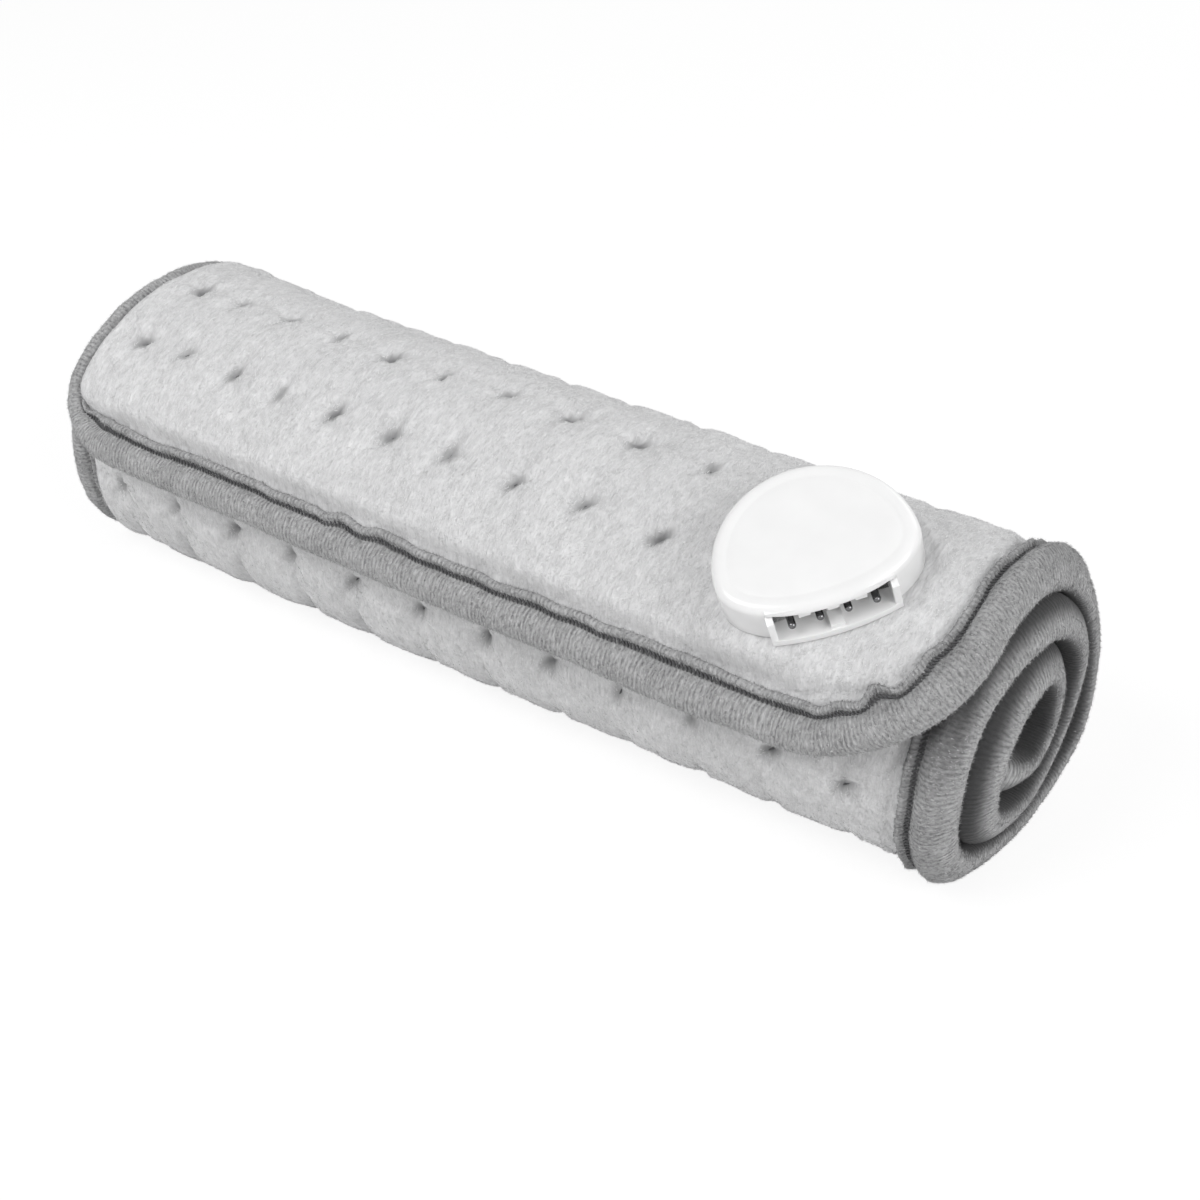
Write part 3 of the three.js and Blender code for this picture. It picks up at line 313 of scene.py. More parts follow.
def outside_housing(points):
    """How far points lie outside the housing's outline, seen along its upright axis."""
    inverse = np.array(HOUSING_PLACE.inverted())
    local = points @ inverse[:3, :3].T + inverse[:3, 3]
    x, y = local[..., 0], local[..., 1]
    back = y > 0
    reach = np.where(back, HOUSING_BACK, HOUSING_FRONT)
    power = np.where(back, 2, FRONT_SQUARENESS)
    scale = ((np.abs(x) / HOUSING_HALF) ** power + (np.abs(y) / reach) ** power) ** (1 / power)
    return np.hypot(x, y) * (1 - 1 / np.maximum(scale, 1))


def seat_height(x, s):
    """Height over the middle surface at which the housing's underside lies, and how near the housing is."""
    foot = roll.place(x, s, 0)
    out = roll.outward(s)
    normal = np.array(SEAT_NORMAL)
    seat = np.array(HOUSING_PLACE.translation) - FIT * normal
    height = ((seat - foot) @ normal) / np.maximum(out @ normal, LEAST_FACING)
    apart = outside_housing(foot + out * height[..., None])
    near = 1 - smoothstep(apart, 0, PLUSH_BLEND)
    return height, np.where((s < FLAP_LENGTH) & (x > 0), near, 0)


# The quilted pad
GRID = 2.4 * MM
REFINE_TIMES = 1
SHOWN_END = 335 * MM
HIDDEN_STEP = 5 * MM
CHART_HALF = 0.49
TUFT_DEPTH = 3.9 * MM
TUFT_WIDE = 5.0 * MM
TUFT_BLUNT = 1.2 * MM
TUFT_REACH = 4 * TUFT_WIDE
PIT_DEPTH = 2.3 * MM
PIT_WIDE = 1.9 * MM
PIT_LONG = 3.3 * MM
STAR_POINTS = 5
STAR_DEPTH = 0.6 * MM
STAR_WIDE = 3.6 * MM
BACK_DEPTH = 2.0 * MM
PUFF = 1.9 * MM
PUFF_SLOPE = 0.6
LOWER_SLOPE = 1.7
LOWER_FROM = 170 * MM
LOWER_BY = 205 * MM
END_RISE = 2.2 * MM
END_WIDE = 0.6
END_FROM = 55 * MM
END_BY = 95 * MM
QUILT_LIFT = 1.1 * MM
PUFF_COVERED = 0.3 * MM
COVERED_FROM = 262 * MM
COVERED_BY = 288 * MM
CREASE_DEPTH = 2.0 * MM
CREASE_CUT = 1.0 * MM
CREASE_LEAST = 0.25
CREASE_WIDE = 1.5 * MM
CREASE_WANDER = 1.6 * MM
CREASE_FROM = 192 * MM
CREASE_TO = 258 * MM
CREASE_FADE = 8 * MM
CREASE_MEAN = 0.75
CREASE_SPREAD = 0.55
CREASE_WEAKENS = (-0.6 * HALF_WIDTH, 0.5 * HALF_WIDTH)
FLUTE_RISE = 0.4
CREASE_SEED = 24
CREASE_APART = 7.7
WANDER_SEED = 23
WANDER_APART = 5.3
WANDER_LENGTH = 9 * MM
WANDER_START = 10
CREASE_START = 30
LEAST_COVER = 0.3 * MM
RIPPLE = 0.35 * MM
RIPPLE_LENGTH = 17 * MM
RIPPLE_SEED = 21
RIPPLE_START = 40
LUMP = 0.16 * MM
LUMP_LENGTH = 3.6 * MM
LUMP_SEED = 22
LUMP_START = 60


def flat_rows():
    front = np.linspace(EDGE_TUCK, roll.rest_s, round((roll.rest_s - EDGE_TUCK) / GRID) + 1)
    rear = np.linspace(roll.rest_s, SHOWN_END, round((SHOWN_END - roll.rest_s) / GRID) + 1)
    return front, rear[1:]


def flat_grid(rows, columns):
    """Points of the flat pad on rows kept inside its rounded corners."""
    s = np.repeat(rows[:, None], columns, axis=1)
    share = np.linspace(0, 1, columns)[None, :]
    to_end = roll.length - rows
    inner_end = edge_x(to_end, EDGE_TUCK, INNER_CORNER)
    left = -np.minimum(edge_x(rows, EDGE_TUCK, CORNER_LEFT), inner_end)[:, None]
    right = np.minimum(edge_x(rows, RIGHT_TUCK, CORNER_RIGHT), inner_end)[:, None]
    return mix(left, right, share), s


def tuft_sum(x, s, shape):
    total = np.zeros_like(x)
    for tuft_x, tuft_s, strength, turn in tufts:
        near = (np.abs(x - tuft_x) < TUFT_REACH) & (np.abs(s - tuft_s) < TUFT_REACH)
        if near.any():
            total[near] += strength * shape(x[near] - tuft_x, s[near] - tuft_s, turn)
    return total


def dimple(dx, ds, turn):
    return np.exp(-np.sqrt(dx**2 + ds**2 + TUFT_BLUNT**2) / TUFT_WIDE)


def pit(dx, ds, turn):
    """The short slit that the stitch draws in."""
    along = dx * np.cos(turn) + ds * np.sin(turn)
    across = ds * np.cos(turn) - dx * np.sin(turn)
    return np.exp(-((along / PIT_LONG) ** 2) - (across / PIT_WIDE) ** 2)


def star(dx, ds, turn):
    """Small creases that run out from a tuft."""
    away = np.hypot(dx, ds)
    rays = np.cos(STAR_POINTS * np.arctan2(ds, dx) + turn)
    return rays * (away / STAR_WIDE) * np.exp(1 - away / STAR_WIDE)


def creases(x, s):
    """Sharp folds that run down the roll's front from its tufts, with plump flutes between them."""
    column = (x - ROLL_TUFT_SHIFT) / ROLL_TUFT_PITCH
    nearest = np.round(column)
    bends = make_noise_plane(WANDER_SEED)
    wander = bends(nearest * WANDER_APART + CREASE_START, s / WANDER_LENGTH + WANDER_START) * CREASE_WANDER
    uneven = make_noise_plane(CREASE_SEED)(nearest * CREASE_APART + CREASE_START, 0 * s)
    strength = CREASE_MEAN + CREASE_SPREAD * uneven
    strength = strength * mix(1, CREASE_LEAST, smoothstep(x, *CREASE_WEAKENS))
    apart = (column - nearest) * ROLL_TUFT_PITCH - wander
    shown = smoothstep(s, CREASE_FROM, CREASE_FROM + CREASE_FADE)
    shown = shown * (1 - smoothstep(s, CREASE_TO - CREASE_FADE, CREASE_TO))
    from_fold = np.clip(2 * np.abs(apart) / ROLL_TUFT_PITCH, 0, 1)
    flute = CREASE_DEPTH * (FLUTE_RISE - (1 - from_fold) ** 3)
    return strength * shown * (flute - CREASE_CUT * np.exp(-np.abs(apart) / CREASE_WIDE))


def at_left_end(x, s):
    """How near a point lies to the left end, behind the flap's front, where the pad stands higher."""
    return smoothstep(-x, END_WIDE * HALF_WIDTH, HALF_WIDTH) * smoothstep(s, END_FROM, END_BY)


def plain_height(x, s):
    """The face without its sewing: plump where it lies open, and flatter under the next turn."""
    covered = smoothstep(s, COVERED_FROM, COVERED_BY)
    lower = smoothstep(s, LOWER_FROM, LOWER_BY)
    slope = np.where(x > 0, mix(PUFF_SLOPE, LOWER_SLOPE, lower), PUFF_SLOPE)
    raised = END_RISE * (at_left_end(x, s) * (1 - lower))
    open_puff = PUFF * (1 - slope * x / HALF_WIDTH) + raised + QUILT_LIFT
    puff = mix(open_puff, PUFF_COVERED, covered)
    return mix(EDGE_TOP, FACE_TOP + puff, fullness(x, s))


def sewn_height(x, s):
    return plain_height(x, s) - TUFT_DEPTH * fullness(x, s) * tuft_sum(x, s, dimple)


def read_noise(seed, x, s, length, start):
    return make_noise_plane(seed)(x / length + start, s / length + start)


def face_height(x, s, draped=None):
    """Height of the face over the middle surface, from the draped cloth or from the plain quilting."""
    ripple = read_noise(RIPPLE_SEED, x, s, RIPPLE_LENGTH, RIPPLE_START)
    lump = read_noise(LUMP_SEED, x, s, LUMP_LENGTH, LUMP_START)
    pinched = STAR_DEPTH * tuft_sum(x, s, star) - PIT_DEPTH * tuft_sum(x, s, pit)
    relief = pinched + creases(x, s) + RIPPLE * ripple + LUMP * lump
    height = (sewn_height(x, s) if draped is None else draped) + relief * fullness(x, s)
    least = FELT_TOP + LEAST_COVER
    height = least + np.logaddexp(0, (height - least) / LEAST_COVER) * LEAST_COVER
    seat, near = seat_height(x, s)
    return mix(height, seat, near)


def back_height(x, s):
    full = fullness(x, s)
    return mix(EDGE_BOTTOM, -FACE_TOP, full) + BACK_DEPTH * full * tuft_sum(x, s, dimple)


# The plush as cloth with a little to spare, blown out between the places where it is sewn
CLOTH_UNITS = 100
CLOTH_FRAMES = 24
CLOTH_SETTINGS = {
    "vertex_group_mass": "held",
    "quality": 5,
    "mass": 0.15,
    "tension_stiffness": 12,
    "compression_stiffness": 12,
    "shear_stiffness": 4,
    "bending_stiffness": 0.4,
    "air_damping": 4,
    "shrink_min": -0.045,
    "use_pressure": True,
    "uniform_pressure_force": 2.2,
}
HELD_BELOW_FULLNESS = 0.25
HELD_NEAR_SEAT = 0.5
HELD_AT_TUFT = 2.5 * MM
CLOTH_RISE = 2.6 * MM


def drape(x, s):
    """Height of the plush after it has settled as cloth on its flat grid."""
    start = sewn_height(x, s)
    rows, columns = x.shape
    flat = np.stack([x, s, start], axis=-1).reshape(-1, 3) * CLOTH_UNITS
    mesh = bpy.data.meshes.new("plush_cloth")
    mesh.from_pydata(flat.tolist(), [], grid_faces(rows, columns)[:, ::-1].tolist())
    sheet = new_object("plush_cloth", mesh)
    at_tuft = np.zeros_like(x, bool)
    for tuft_x, tuft_s, _, _ in tufts:
        at_tuft |= np.hypot(x - tuft_x, s - tuft_s) < HELD_AT_TUFT
    held = at_tuft | (fullness(x, s) < HELD_BELOW_FULLNESS) | (seat_height(x, s)[1] > HELD_NEAR_SEAT)
    held[0], held[-1] = True, True
    group = sheet.vertex_groups.new(name="held")
    group.add(np.nonzero(held.ravel())[0].tolist(), 1.0, "REPLACE")
    cloth = sheet.modifiers.new("cloth", "CLOTH")
    for name, value in CLOTH_SETTINGS.items():
        setattr(cloth.settings, name, value)
    cloth.settings.effector_weights.gravity = 0
    cloth.collision_settings.use_collision = False
    cloth.point_cache.frame_start, cloth.point_cache.frame_end = 1, CLOTH_FRAMES
    scene = bpy.context.scene
    for frame_number in range(1, CLOTH_FRAMES + 1):
        scene.frame_set(frame_number)
    settled = sheet.evaluated_get(bpy.context.evaluated_depsgraph_get()).to_mesh()
    places = np.empty(len(flat) * 3, np.float32)
    settled.vertices.foreach_get("co", places)
    bpy.data.objects.remove(sheet)
    bpy.data.meshes.remove(mesh)
    scene.frame_set(1)
    height = places.reshape(rows, columns, 3)[..., 2] / CLOTH_UNITS
    return np.clip(height, start - CLOTH_RISE / 2, start + CLOTH_RISE)


def new_object(name, mesh):
    piece = bpy.data.objects.new(name, mesh)
    bpy.context.scene.collection.objects.link(piece)
    return piece


def grid_faces(rows, columns, start=0):
    corner = start + np.arange(rows * columns).reshape(rows, columns)
    quads = [corner[:-1, :-1], corner[:-1, 1:], corner[1:, 1:], corner[1:, :-1]]
    return np.stack([quad.ravel() for quad in quads], axis=1)


def mesh_from(name, points, faces, flat, chart):
    """A smooth mesh of quads with two maps: the flat pad in metres, and a chart within the unit square."""
    mesh = bpy.data.meshes.new(name)
    mesh.from_pydata(points.tolist(), [], faces.tolist())
    corners = faces.ravel()
    for layer_name, values in (("OFBake", chart), ("flat", flat)):
        layer = mesh.uv_layers.new(name=layer_name)
        layer.data.foreach_set("uv", values[corners].astype(np.float32).ravel())
    mesh.polygons.foreach_set("use_smooth", np.ones(len(faces), bool))
    mesh.update()
    return mesh


def mark(mesh, name, values):
    """Keeps a value for each point of a mesh, for its material."""
    mesh.attributes.new(name, "FLOAT", "POINT").data.foreach_set("value", values.astype(np.float32).ravel())


def padded_sheet(name, x, s, top, bottom):
    """A closed quilted sheet on the roll, from grids of flat places and of heights."""
    rows, columns = x.shape
    count = rows * columns
    points = np.concatenate([roll.place(x, s, height).reshape(-1, 3) for height in (top, bottom)])
    upper = grid_faces(rows, columns)
    lower = grid_faces(rows, columns, count)[:, ::-1]
    index = np.arange(count).reshape(rows, columns)
    rim = np.concatenate([index[0], index[1:, -1], index[-1, -2::-1], index[-2:0:-1, 0]])
    next_rim = np.roll(rim, -1)
    sides = np.stack([next_rim, rim, rim + count, next_rim + count], axis=1)
    flat = np.tile(np.stack([x.ravel(), s.ravel()], axis=1), (2, 1))
    low, high = flat.min(axis=0), flat.max(axis=0)
    chart = (flat - low) / (high - low) * [CHART_HALF, 1]
    chart[count:, 0] += 1 - CHART_HALF
    mesh = mesh_from(name, points, np.concatenate([upper, lower, sides]), flat, chart)
    # marks the tufts' pits for the painted shade in the plush's colour
    mark(mesh, "pit_shade", np.concatenate([tuft_sum(x, s, pit).ravel(), np.zeros(count)]))
    return new_object(name, mesh)


def refine(grid, times):
    """Halves the steps of a grid of values, with a smooth curve through the known ones."""
    for _ in range(times):
        for axis in (0, 1):
            grid = np.moveaxis(grid, axis, 0)
            ahead = np.concatenate([grid[1:], 2 * grid[-1:] - grid[-2:-1]])
            behind = np.concatenate([2 * grid[:1] - grid[1:2], grid[:-1]])
            slope = (ahead - behind) / 2
            middle = (grid[:-1] + grid[1:]) / 2 + (slope[:-1] - slope[1:]) / 8
            finer = np.empty((2 * len(grid) - 1, *grid.shape[1:]))
            finer[0::2] = grid
            finer[1::2] = middle
            grid = np.moveaxis(finer, 0, axis)
    return grid


def quilted_pad():
    """The pad in two pieces that meet under the roll, each with the grids of its face."""
    front, rear = flat_rows()
    columns = round((PAD_WIDTH - 2 * EDGE_TUCK) / GRID) + 1
    x, s = flat_grid(np.concatenate([front, rear]), columns)
    draped = refine(drape(x, s), REFINE_TIMES)
    x, s = refine(x, REFINE_TIMES), refine(s, REFINE_TIMES)
    shown = (x, s, face_height(x, s, draped), back_height(x, s))
    split = (len(front) - 1) * 2**REFINE_TIMES
    flap_grids, roll_grids = [grid[: split + 1] for grid in shown], [grid[split:] for grid in shown]
    end = roll.length - EDGE_TUCK
    hidden_rows = np.linspace(SHOWN_END, end, round((end - SHOWN_END) / HIDDEN_STEP) + 1)[1:]
    hidden_x, hidden_s = flat_grid(hidden_rows, x.shape[1])
    hidden = (hidden_x, hidden_s, face_height(hidden_x, hidden_s), back_height(hidden_x, hidden_s))
    outer = padded_sheet("quilted_flap", *flap_grids)
    inner = padded_sheet("quilted_roll", *[np.concatenate(pair) for pair in zip(roll_grids, hidden)])
    return (outer, *flap_grids[:3]), (inner, *roll_grids[:3])


# The ribbed binding, as points of its section: distance in from the fold and height over the middle
BINDING_SECTION = [
    (13.6, 3.5), (14.0, 4.9), (13.4, 5.8), (12.6, 5.7), (12.1, 5.0), (11.5, 4.3), (10.7, 4.3), (10.1, 4.9),
    (9.3, 5.9), (7.7, 6.6), (5.6, 6.8), (3.4, 6.3), (1.6, 5.0), (0.5, 2.9), (0.0, 0.3), (0.5, -2.5),
    (1.8, -4.3), (4.2, -5.0), (7.5, -5.1), (10.0, -4.9), (11.0, -4.4), (11.8, -4.4), (13.0, -4.8),
    (13.7, -4.3), (13.6, -3.2), (10.0, -2.6), (3.4, -2.5), (2.0, 0.2), (3.4, 3.6), (10.0, 3.7),
]
SECTION_STEPS = 3
FUZZ_STEPS = 22
# Painted shade in the slits between the turns: the tape's sides darken from its ridge outward and inward,
# less where the tape lies uncovered
FOLD_RIDGE = -1.0 * MM
FOLD_FROM = 0.8 * MM
FOLD_OUTWARD = 6.6 * MM
FOLD_INWARD = 4.0 * MM
UNCOVERED_SHADE = 0.15
SHADE_EARLIER = 8 * MM
GROOVE_CORE = 0.1 * MM
GROOVE_WIDE = 0.9 * MM
BINDING_STEP = 1.2 * MM
SAME_PLACE = BINDING_STEP / 10
INNER_CORNER = 20 * MM
SEAM_DEPTH = 11.1 * MM
SEAM_HEIGHT = 4.3 * MM
LIP_BEFORE = 2 * MM
LIP_AFTER = 1 * MM
SLANT = 2.2 * MM
SLANT_FROM = 3 * MM
SLANT_TO = 9 * MM
SLANT_LOW = -4 * MM
SLANT_HIGH = 6 * MM
TAPE_RISE = 2.0 * MM
TAPE_RISE_FADE = 40 * MM
TAPE_SWELL = 0.06
RUFFLE = 0.8 * MM
RUFFLE_CORNER = 1.6 * MM
RUFFLE_LENGTH = 7 * MM
PUCKER = 0.6 * MM
PUCKER_LEAST = 0.4
PUCKER_LENGTH = 4.2 * MM
SWAY = 0.7 * MM
SWAY_LENGTH = 30 * MM


def smooth_loop(points, steps):
    """A closed smooth curve through points."""
    points = np.array(points, float)
    share = (np.arange(steps) / steps)[None, :, None]
    before, here = np.roll(points, 1, axis=0)[:, None], points[:, None]
    after, later = np.roll(points, -1, axis=0)[:, None], np.roll(points, -2, axis=0)[:, None]
    curve = here + share * (after - before) / 2
    curve = curve + share**2 * (before - 2.5 * here + 2 * after - later / 2)
    curve = curve + share**3 * ((later - before) / 2 + 1.5 * (here - after))
    return curve.reshape(-1, points.shape[1])


section_curve = smooth_loop(BINDING_SECTION, SECTION_STEPS) * MM
SECTION_DEPTH, SECTION_HEIGHT = section_curve.T[:, None]


class EdgePath:
    """A run of the pad's edge on the flat pad: its fold, the way out, the tape's width and slant."""

    def __init__(self, *runs):
        stacked = np.concatenate(runs)
        keep = np.concatenate([[True], np.hypot(*np.diff(stacked[:, :2], axis=0).T) > SAME_PLACE])
        fields = stacked[keep].T[..., None]
        self.x, self.s, self.out_x, self.out_s, self.bend, self.width, self.slant = fields
        steps = np.hypot(np.diff(self.x[:, 0]), np.diff(self.s[:, 0]))
        self.along = np.concatenate([[0], np.cumsum(steps)])


def straight_run(start, end, out, widths, slant):
    share = np.linspace(0, 1, max(2, round(math.dist(start, end) / BINDING_STEP)))
    first, last = (*start, *out, 0, widths[0], slant), (*end, *out, 0, widths[1], slant)
    widened = [mix(low, high, share) for low, high in zip(first, last)]
    return np.stack(widened, axis=1)


def corner_run(middle, radius, first, last, widths, slants):
    share = np.linspace(0, 1, max(4, round(radius * abs(last - first) / BINDING_STEP)))
    angle = mix(first, last, share)
    out_x, out_s = np.cos(angle), np.sin(angle)
    eased = smoothstep(share, 0, 1)
    places = [middle[0] + radius * out_x, middle[1] + radius * out_s, out_x, out_s, np.sin(math.pi * share)]
    return np.stack([*places, mix(*widths, eased), mix(*slants, eased)], axis=1)


def flap_edge_path():
    """From under the roll up the left side, round the flap's edge and down the right side."""
    left, right, rest = -HALF_WIDTH, HALF_WIDTH, roll.rest_s
    near, far, quarter = CORNER_LEFT, CORNER_RIGHT, math.pi / 2
    return EdgePath(
        straight_run((left, rest), (left, near), (-1, 0), (LOWER_LEFT_TAPE, LEFT_TAPE), 0),
        corner_run((left + near, near), near, 2 * quarter, 3 * quarter, (LEFT_TAPE, 1), (0, 0)),
        straight_run((left + near, 0), (right - far, 0), (0, -1), (1, 1), 0),
        corner_run((right - far, far), far, 3 * quarter, 4 * quarter, (1, RIGHT_TAPE), (0, 1)),
        straight_run((right, far), (right, rest), (1, 0), (RIGHT_TAPE, 1), 1),
    )


def roll_edge_path():
    """From under the roll along the right side to the inner end, and back along the left side."""
    left, right, rest, end = -HALF_WIDTH, HALF_WIDTH, roll.rest_s, roll.length
    turn, quarter = INNER_CORNER, math.pi / 2
    return EdgePath(
        straight_run((right, rest), (right, end - turn), (1, 0), (1, 1), 1),
        corner_run((right - turn, end - turn), turn, 0, quarter, (1, 1), (1, 0)),
        straight_run((right - turn, end), (left + turn, end), (0, 1), (1, 1), 0),
        corner_run((left + turn, end - turn), turn, quarter, 2 * quarter, (1, LOWER_LEFT_TAPE), (0, 0)),
        straight_run((left, end - turn), (left, rest), (-1, 0), (LOWER_LEFT_TAPE, LOWER_LEFT_TAPE), 0),
    )


def binding_places(path, depth, height, seed):
    """Points of the binding on the roll: every ring of its section along a path, gently ruffled."""
    along = path.along[:, None]
    lip = smoothstep(depth, SEAM_DEPTH - LIP_BEFORE, SEAM_DEPTH + LIP_AFTER)
    face = (height > 0).astype(float)
    ruffle = make_noise(seed)(along / RUFFLE_LENGTH) * (RUFFLE + RUFFLE_CORNER * path.bend)
    pucker = make_noise(seed + 1)(along / PUCKER_LENGTH) * PUCKER
    sway = make_noise(seed + 2)(along / SWAY_LENGTH) * SWAY
    swell = 1 + TAPE_SWELL * make_noise(seed + 3)(along / SWAY_LENGTH)
    leaned = SLANT * path.slant * smoothstep(height, SLANT_LOW, SLANT_HIGH)
    leaned = leaned * (1 - smoothstep(depth, SLANT_FROM, SLANT_TO))
    deep = (depth + leaned) * path.width + ruffle * lip * face + sway * (1 - lip)
    high = height * swell + pucker * mix(PUCKER_LEAST, 1, lip) * face
    raised = TAPE_RISE * at_left_end(path.x, path.s)
    high = high + raised * (1 - smoothstep(path.s, LOWER_FROM - TAPE_RISE_FADE, LOWER_FROM))
    x = path.x - deep * path.out_x
    s = path.s - deep * path.out_s
    return roll.place(x, np.clip(s, 0, roll.length), high)


def fold_shade(path, height):
    """How deep in the slit between two turns the tape's sides lie, at the end where the turns show: the
    share of painted shade that darkens the tape's colour there.
    """
    covered = smoothstep(path.s, COVERED_FROM - SHADE_EARLIER, COVERED_BY)
    outward = smoothstep(height - FOLD_RIDGE, FOLD_FROM, FOLD_OUTWARD) * mix(UNCOVERED_SHADE, 1, covered)
    inward = smoothstep(FOLD_RIDGE - height, FOLD_FROM, FOLD_INWARD)
    return (outward + inward) * path.slant


def binding(name, path, seed):
    points = binding_places(path, SECTION_DEPTH, SECTION_HEIGHT, seed)
    rings, size = points.shape[:2]
    index = np.arange(rings * size).reshape(rings, size)
    ahead = np.roll(index, -1, axis=1)
    faces = np.stack([index[:-1], ahead[:-1], ahead[1:], index[1:]], axis=-1).reshape(-1, 4)
    around = np.concatenate([[0], np.cumsum(np.hypot(*np.diff(section_curve, axis=0).T))])
    flat = np.stack(np.broadcast_arrays(path.along[:, None], around[None, :]), axis=-1).reshape(-1, 2)
    mesh = mesh_from(name, points.reshape(-1, 3), faces, flat, flat / flat.max(axis=0))
    # painted shade in the seam's groove, on the face side of the tape
    from_seam = smoothstep(np.abs(SECTION_DEPTH - SEAM_DEPTH), GROOVE_CORE, GROOVE_WIDE)
    mark(mesh, "groove", np.broadcast_to((1 - from_seam) * (SECTION_HEIGHT > 0), (rings, size)))
    # painted shade on the tape's sides in the slits between the turns
    mark(mesh, "fold", fold_shade(path, SECTION_HEIGHT))
    cap_ends(mesh)
    return new_object(name, mesh)


def cap_ends(mesh):
    work = bmesh.new()
    work.from_mesh(mesh)
    open_edges = [edge for edge in work.edges if edge.is_boundary]
    bmesh.ops.holes_fill(work, edges=open_edges, sides=0)
    bmesh.ops.recalc_face_normals(work, faces=work.faces)
    work.to_mesh(mesh)
    work.free()


# Threads
STITCH_PITCH = 1.25 * MM
STITCH_SIZE = (2.3 * MM, 0.62 * MM, 0.5 * MM)
STITCH_SLANT = math.radians(52)
STITCH_LIFT = 0.25 * MM
PROBE = 1 * MM
TACK_SIZE = (3.2 * MM, 0.6 * MM, 0.5 * MM)
TACK_LIFT = 0.15 * MM
BEAD_SEGMENTS = 8
BEAD_RINGS = 5


def add(tree, kind, **values):
    """A new node with its sockets or settings given by name."""
    node = tree.nodes.new(kind)
    for key, value in values.items():
        if key in node.inputs:
            node.inputs[key].default_value = value
        else:
            setattr(node, key, value)
    return node


def thread_bead(tree):
    """A smooth bead, one unit across."""
    bead = add(tree, "GeometryNodeMeshUVSphere", Segments=BEAD_SEGMENTS, Rings=BEAD_RINGS, Radius=0.5)
    smooth = add(tree, "GeometryNodeSetShadeSmooth")
    tree.links.new(bead.outputs["Mesh"], smooth.inputs["Geometry"])
    return smooth.outputs["Geometry"]


def fibre_blade(tree):
    """A three-sided blade, one unit long, that points along its own X with a flat side up."""
    blade = add(tree, "GeometryNodeMeshCone", Vertices=3, Depth=1, **{"Radius Bottom": 0.5})
    turned = add(tree, "GeometryNodeTransform", Rotation=(0, math.pi / 2, 0))
    tree.links.new(blade.outputs["Mesh"], turned.inputs["Geometry"])
    return turned.outputs["Geometry"]


def laying_tree(name, make_shape):
    """Geometry nodes that lay one small shape at each point, turned by the point's own axes."""
    tree = bpy.data.node_groups.new(name, "GeometryNodeTree")
    face = tree.interface
    face.new_socket("Geometry", in_out="INPUT", socket_type="NodeSocketGeometry")
    size = face.new_socket("Size", in_out="INPUT", socket_type="NodeSocketVector")
    finish = face.new_socket("Finish", in_out="INPUT", socket_type="NodeSocketMaterial")
    face.new_socket("Geometry", in_out="OUTPUT", socket_type="NodeSocketGeometry")
    start, end = add(tree, "NodeGroupInput"), add(tree, "NodeGroupOutput")
    along, out = [
        add(tree, "GeometryNodeInputNamedAttribute", data_type="FLOAT_VECTOR", Name=axis)
        for axis in ("along", "out")
    ]
    axes = add(tree, "FunctionNodeAxesToRotation", primary_axis="Z", secondary_axis="X")
    shaped, laid = add(tree, "GeometryNodeTransform"), add(tree, "GeometryNodeInstanceOnPoints")
    real, paint = add(tree, "GeometryNodeRealizeInstances"), add(tree, "GeometryNodeSetMaterial")
    links = [
        (make_shape(tree), shaped.inputs["Geometry"]),
        (start.outputs["Size"], shaped.inputs["Scale"]),
        (out.outputs["Attribute"], axes.inputs["Primary Axis"]),
        (along.outputs["Attribute"], axes.inputs["Secondary Axis"]),
        (start.outputs["Geometry"], laid.inputs["Points"]),
        (shaped.outputs["Geometry"], laid.inputs["Instance"]),
        (axes.outputs["Rotation"], laid.inputs["Rotation"]),
        (laid.outputs["Instances"], real.inputs["Geometry"]),
        (real.outputs["Geometry"], paint.inputs["Geometry"]),
        (start.outputs["Finish"], paint.inputs["Material"]),
        (paint.outputs["Geometry"], end.inputs["Geometry"]),
    ]
    for source, target in links:
        tree.links.new(source, target)
    return tree, size.identifier, finish.identifier


LAID_THREADS = laying_tree("laid_threads", thread_bead)
LAID_FIBRES = laying_tree("laid_fibres", fibre_blade)


def lay(name, laying, points, along, out, size, finish):
    """Small shapes laid at points, as one plain mesh."""
    mesh = bpy.data.meshes.new(name + "_points")
    mesh.from_pydata(points.tolist(), [], [])
    for label, values in (("along", along), ("out", out)):
        vectors = mesh.attributes.new(label, "FLOAT_VECTOR", "POINT").data
        vectors.foreach_set("vector", values.astype(np.float32).ravel())
    carrier = new_object(name + "_points", mesh)
    tree, size_input, finish_input = laying
    laid = carrier.modifiers.new("laid", "NODES")
    laid.node_group = tree
    laid[size_input] = size
    laid[finish_input] = finish
    bpy.context.view_layer.update()
    evaluated = carrier.evaluated_get(bpy.context.evaluated_depsgraph_get())
    result = bpy.data.meshes.new_from_object(evaluated)
    result.name = name
    bpy.data.objects.remove(carrier)
    bpy.data.meshes.remove(mesh)
    return new_object(name, result)


def unit(vectors):
    return vectors / np.linalg.norm(vectors, axis=-1, keepdims=True)


def seam_threads(name, path, seed, finish):
    """The slanted stitches in the groove of the binding."""
    count = int(path.along[-1] / STITCH_PITCH)
    at = (np.arange(count) + 0.5) * STITCH_PITCH

    def beside_seam(inward, upward):
        depth, height = np.array([[SEAM_DEPTH + inward]]), np.array([[SEAM_HEIGHT + STITCH_LIFT + upward]])
        line = binding_places(path, depth, height, seed)[:, 0]
        return np.stack([np.interp(at, path.along, line[:, k]) for k in range(3)], axis=1)

    points = beside_seam(0, 0)
    out = unit(beside_seam(0, PROBE) - points)
    across = unit(beside_seam(PROBE, 0) - points)
    ahead = unit(np.cross(out, across))
    along = ahead * math.cos(STITCH_SLANT) + across * math.sin(STITCH_SLANT)
    return lay(name, LAID_THREADS, points, along, out, STITCH_SIZE, finish)


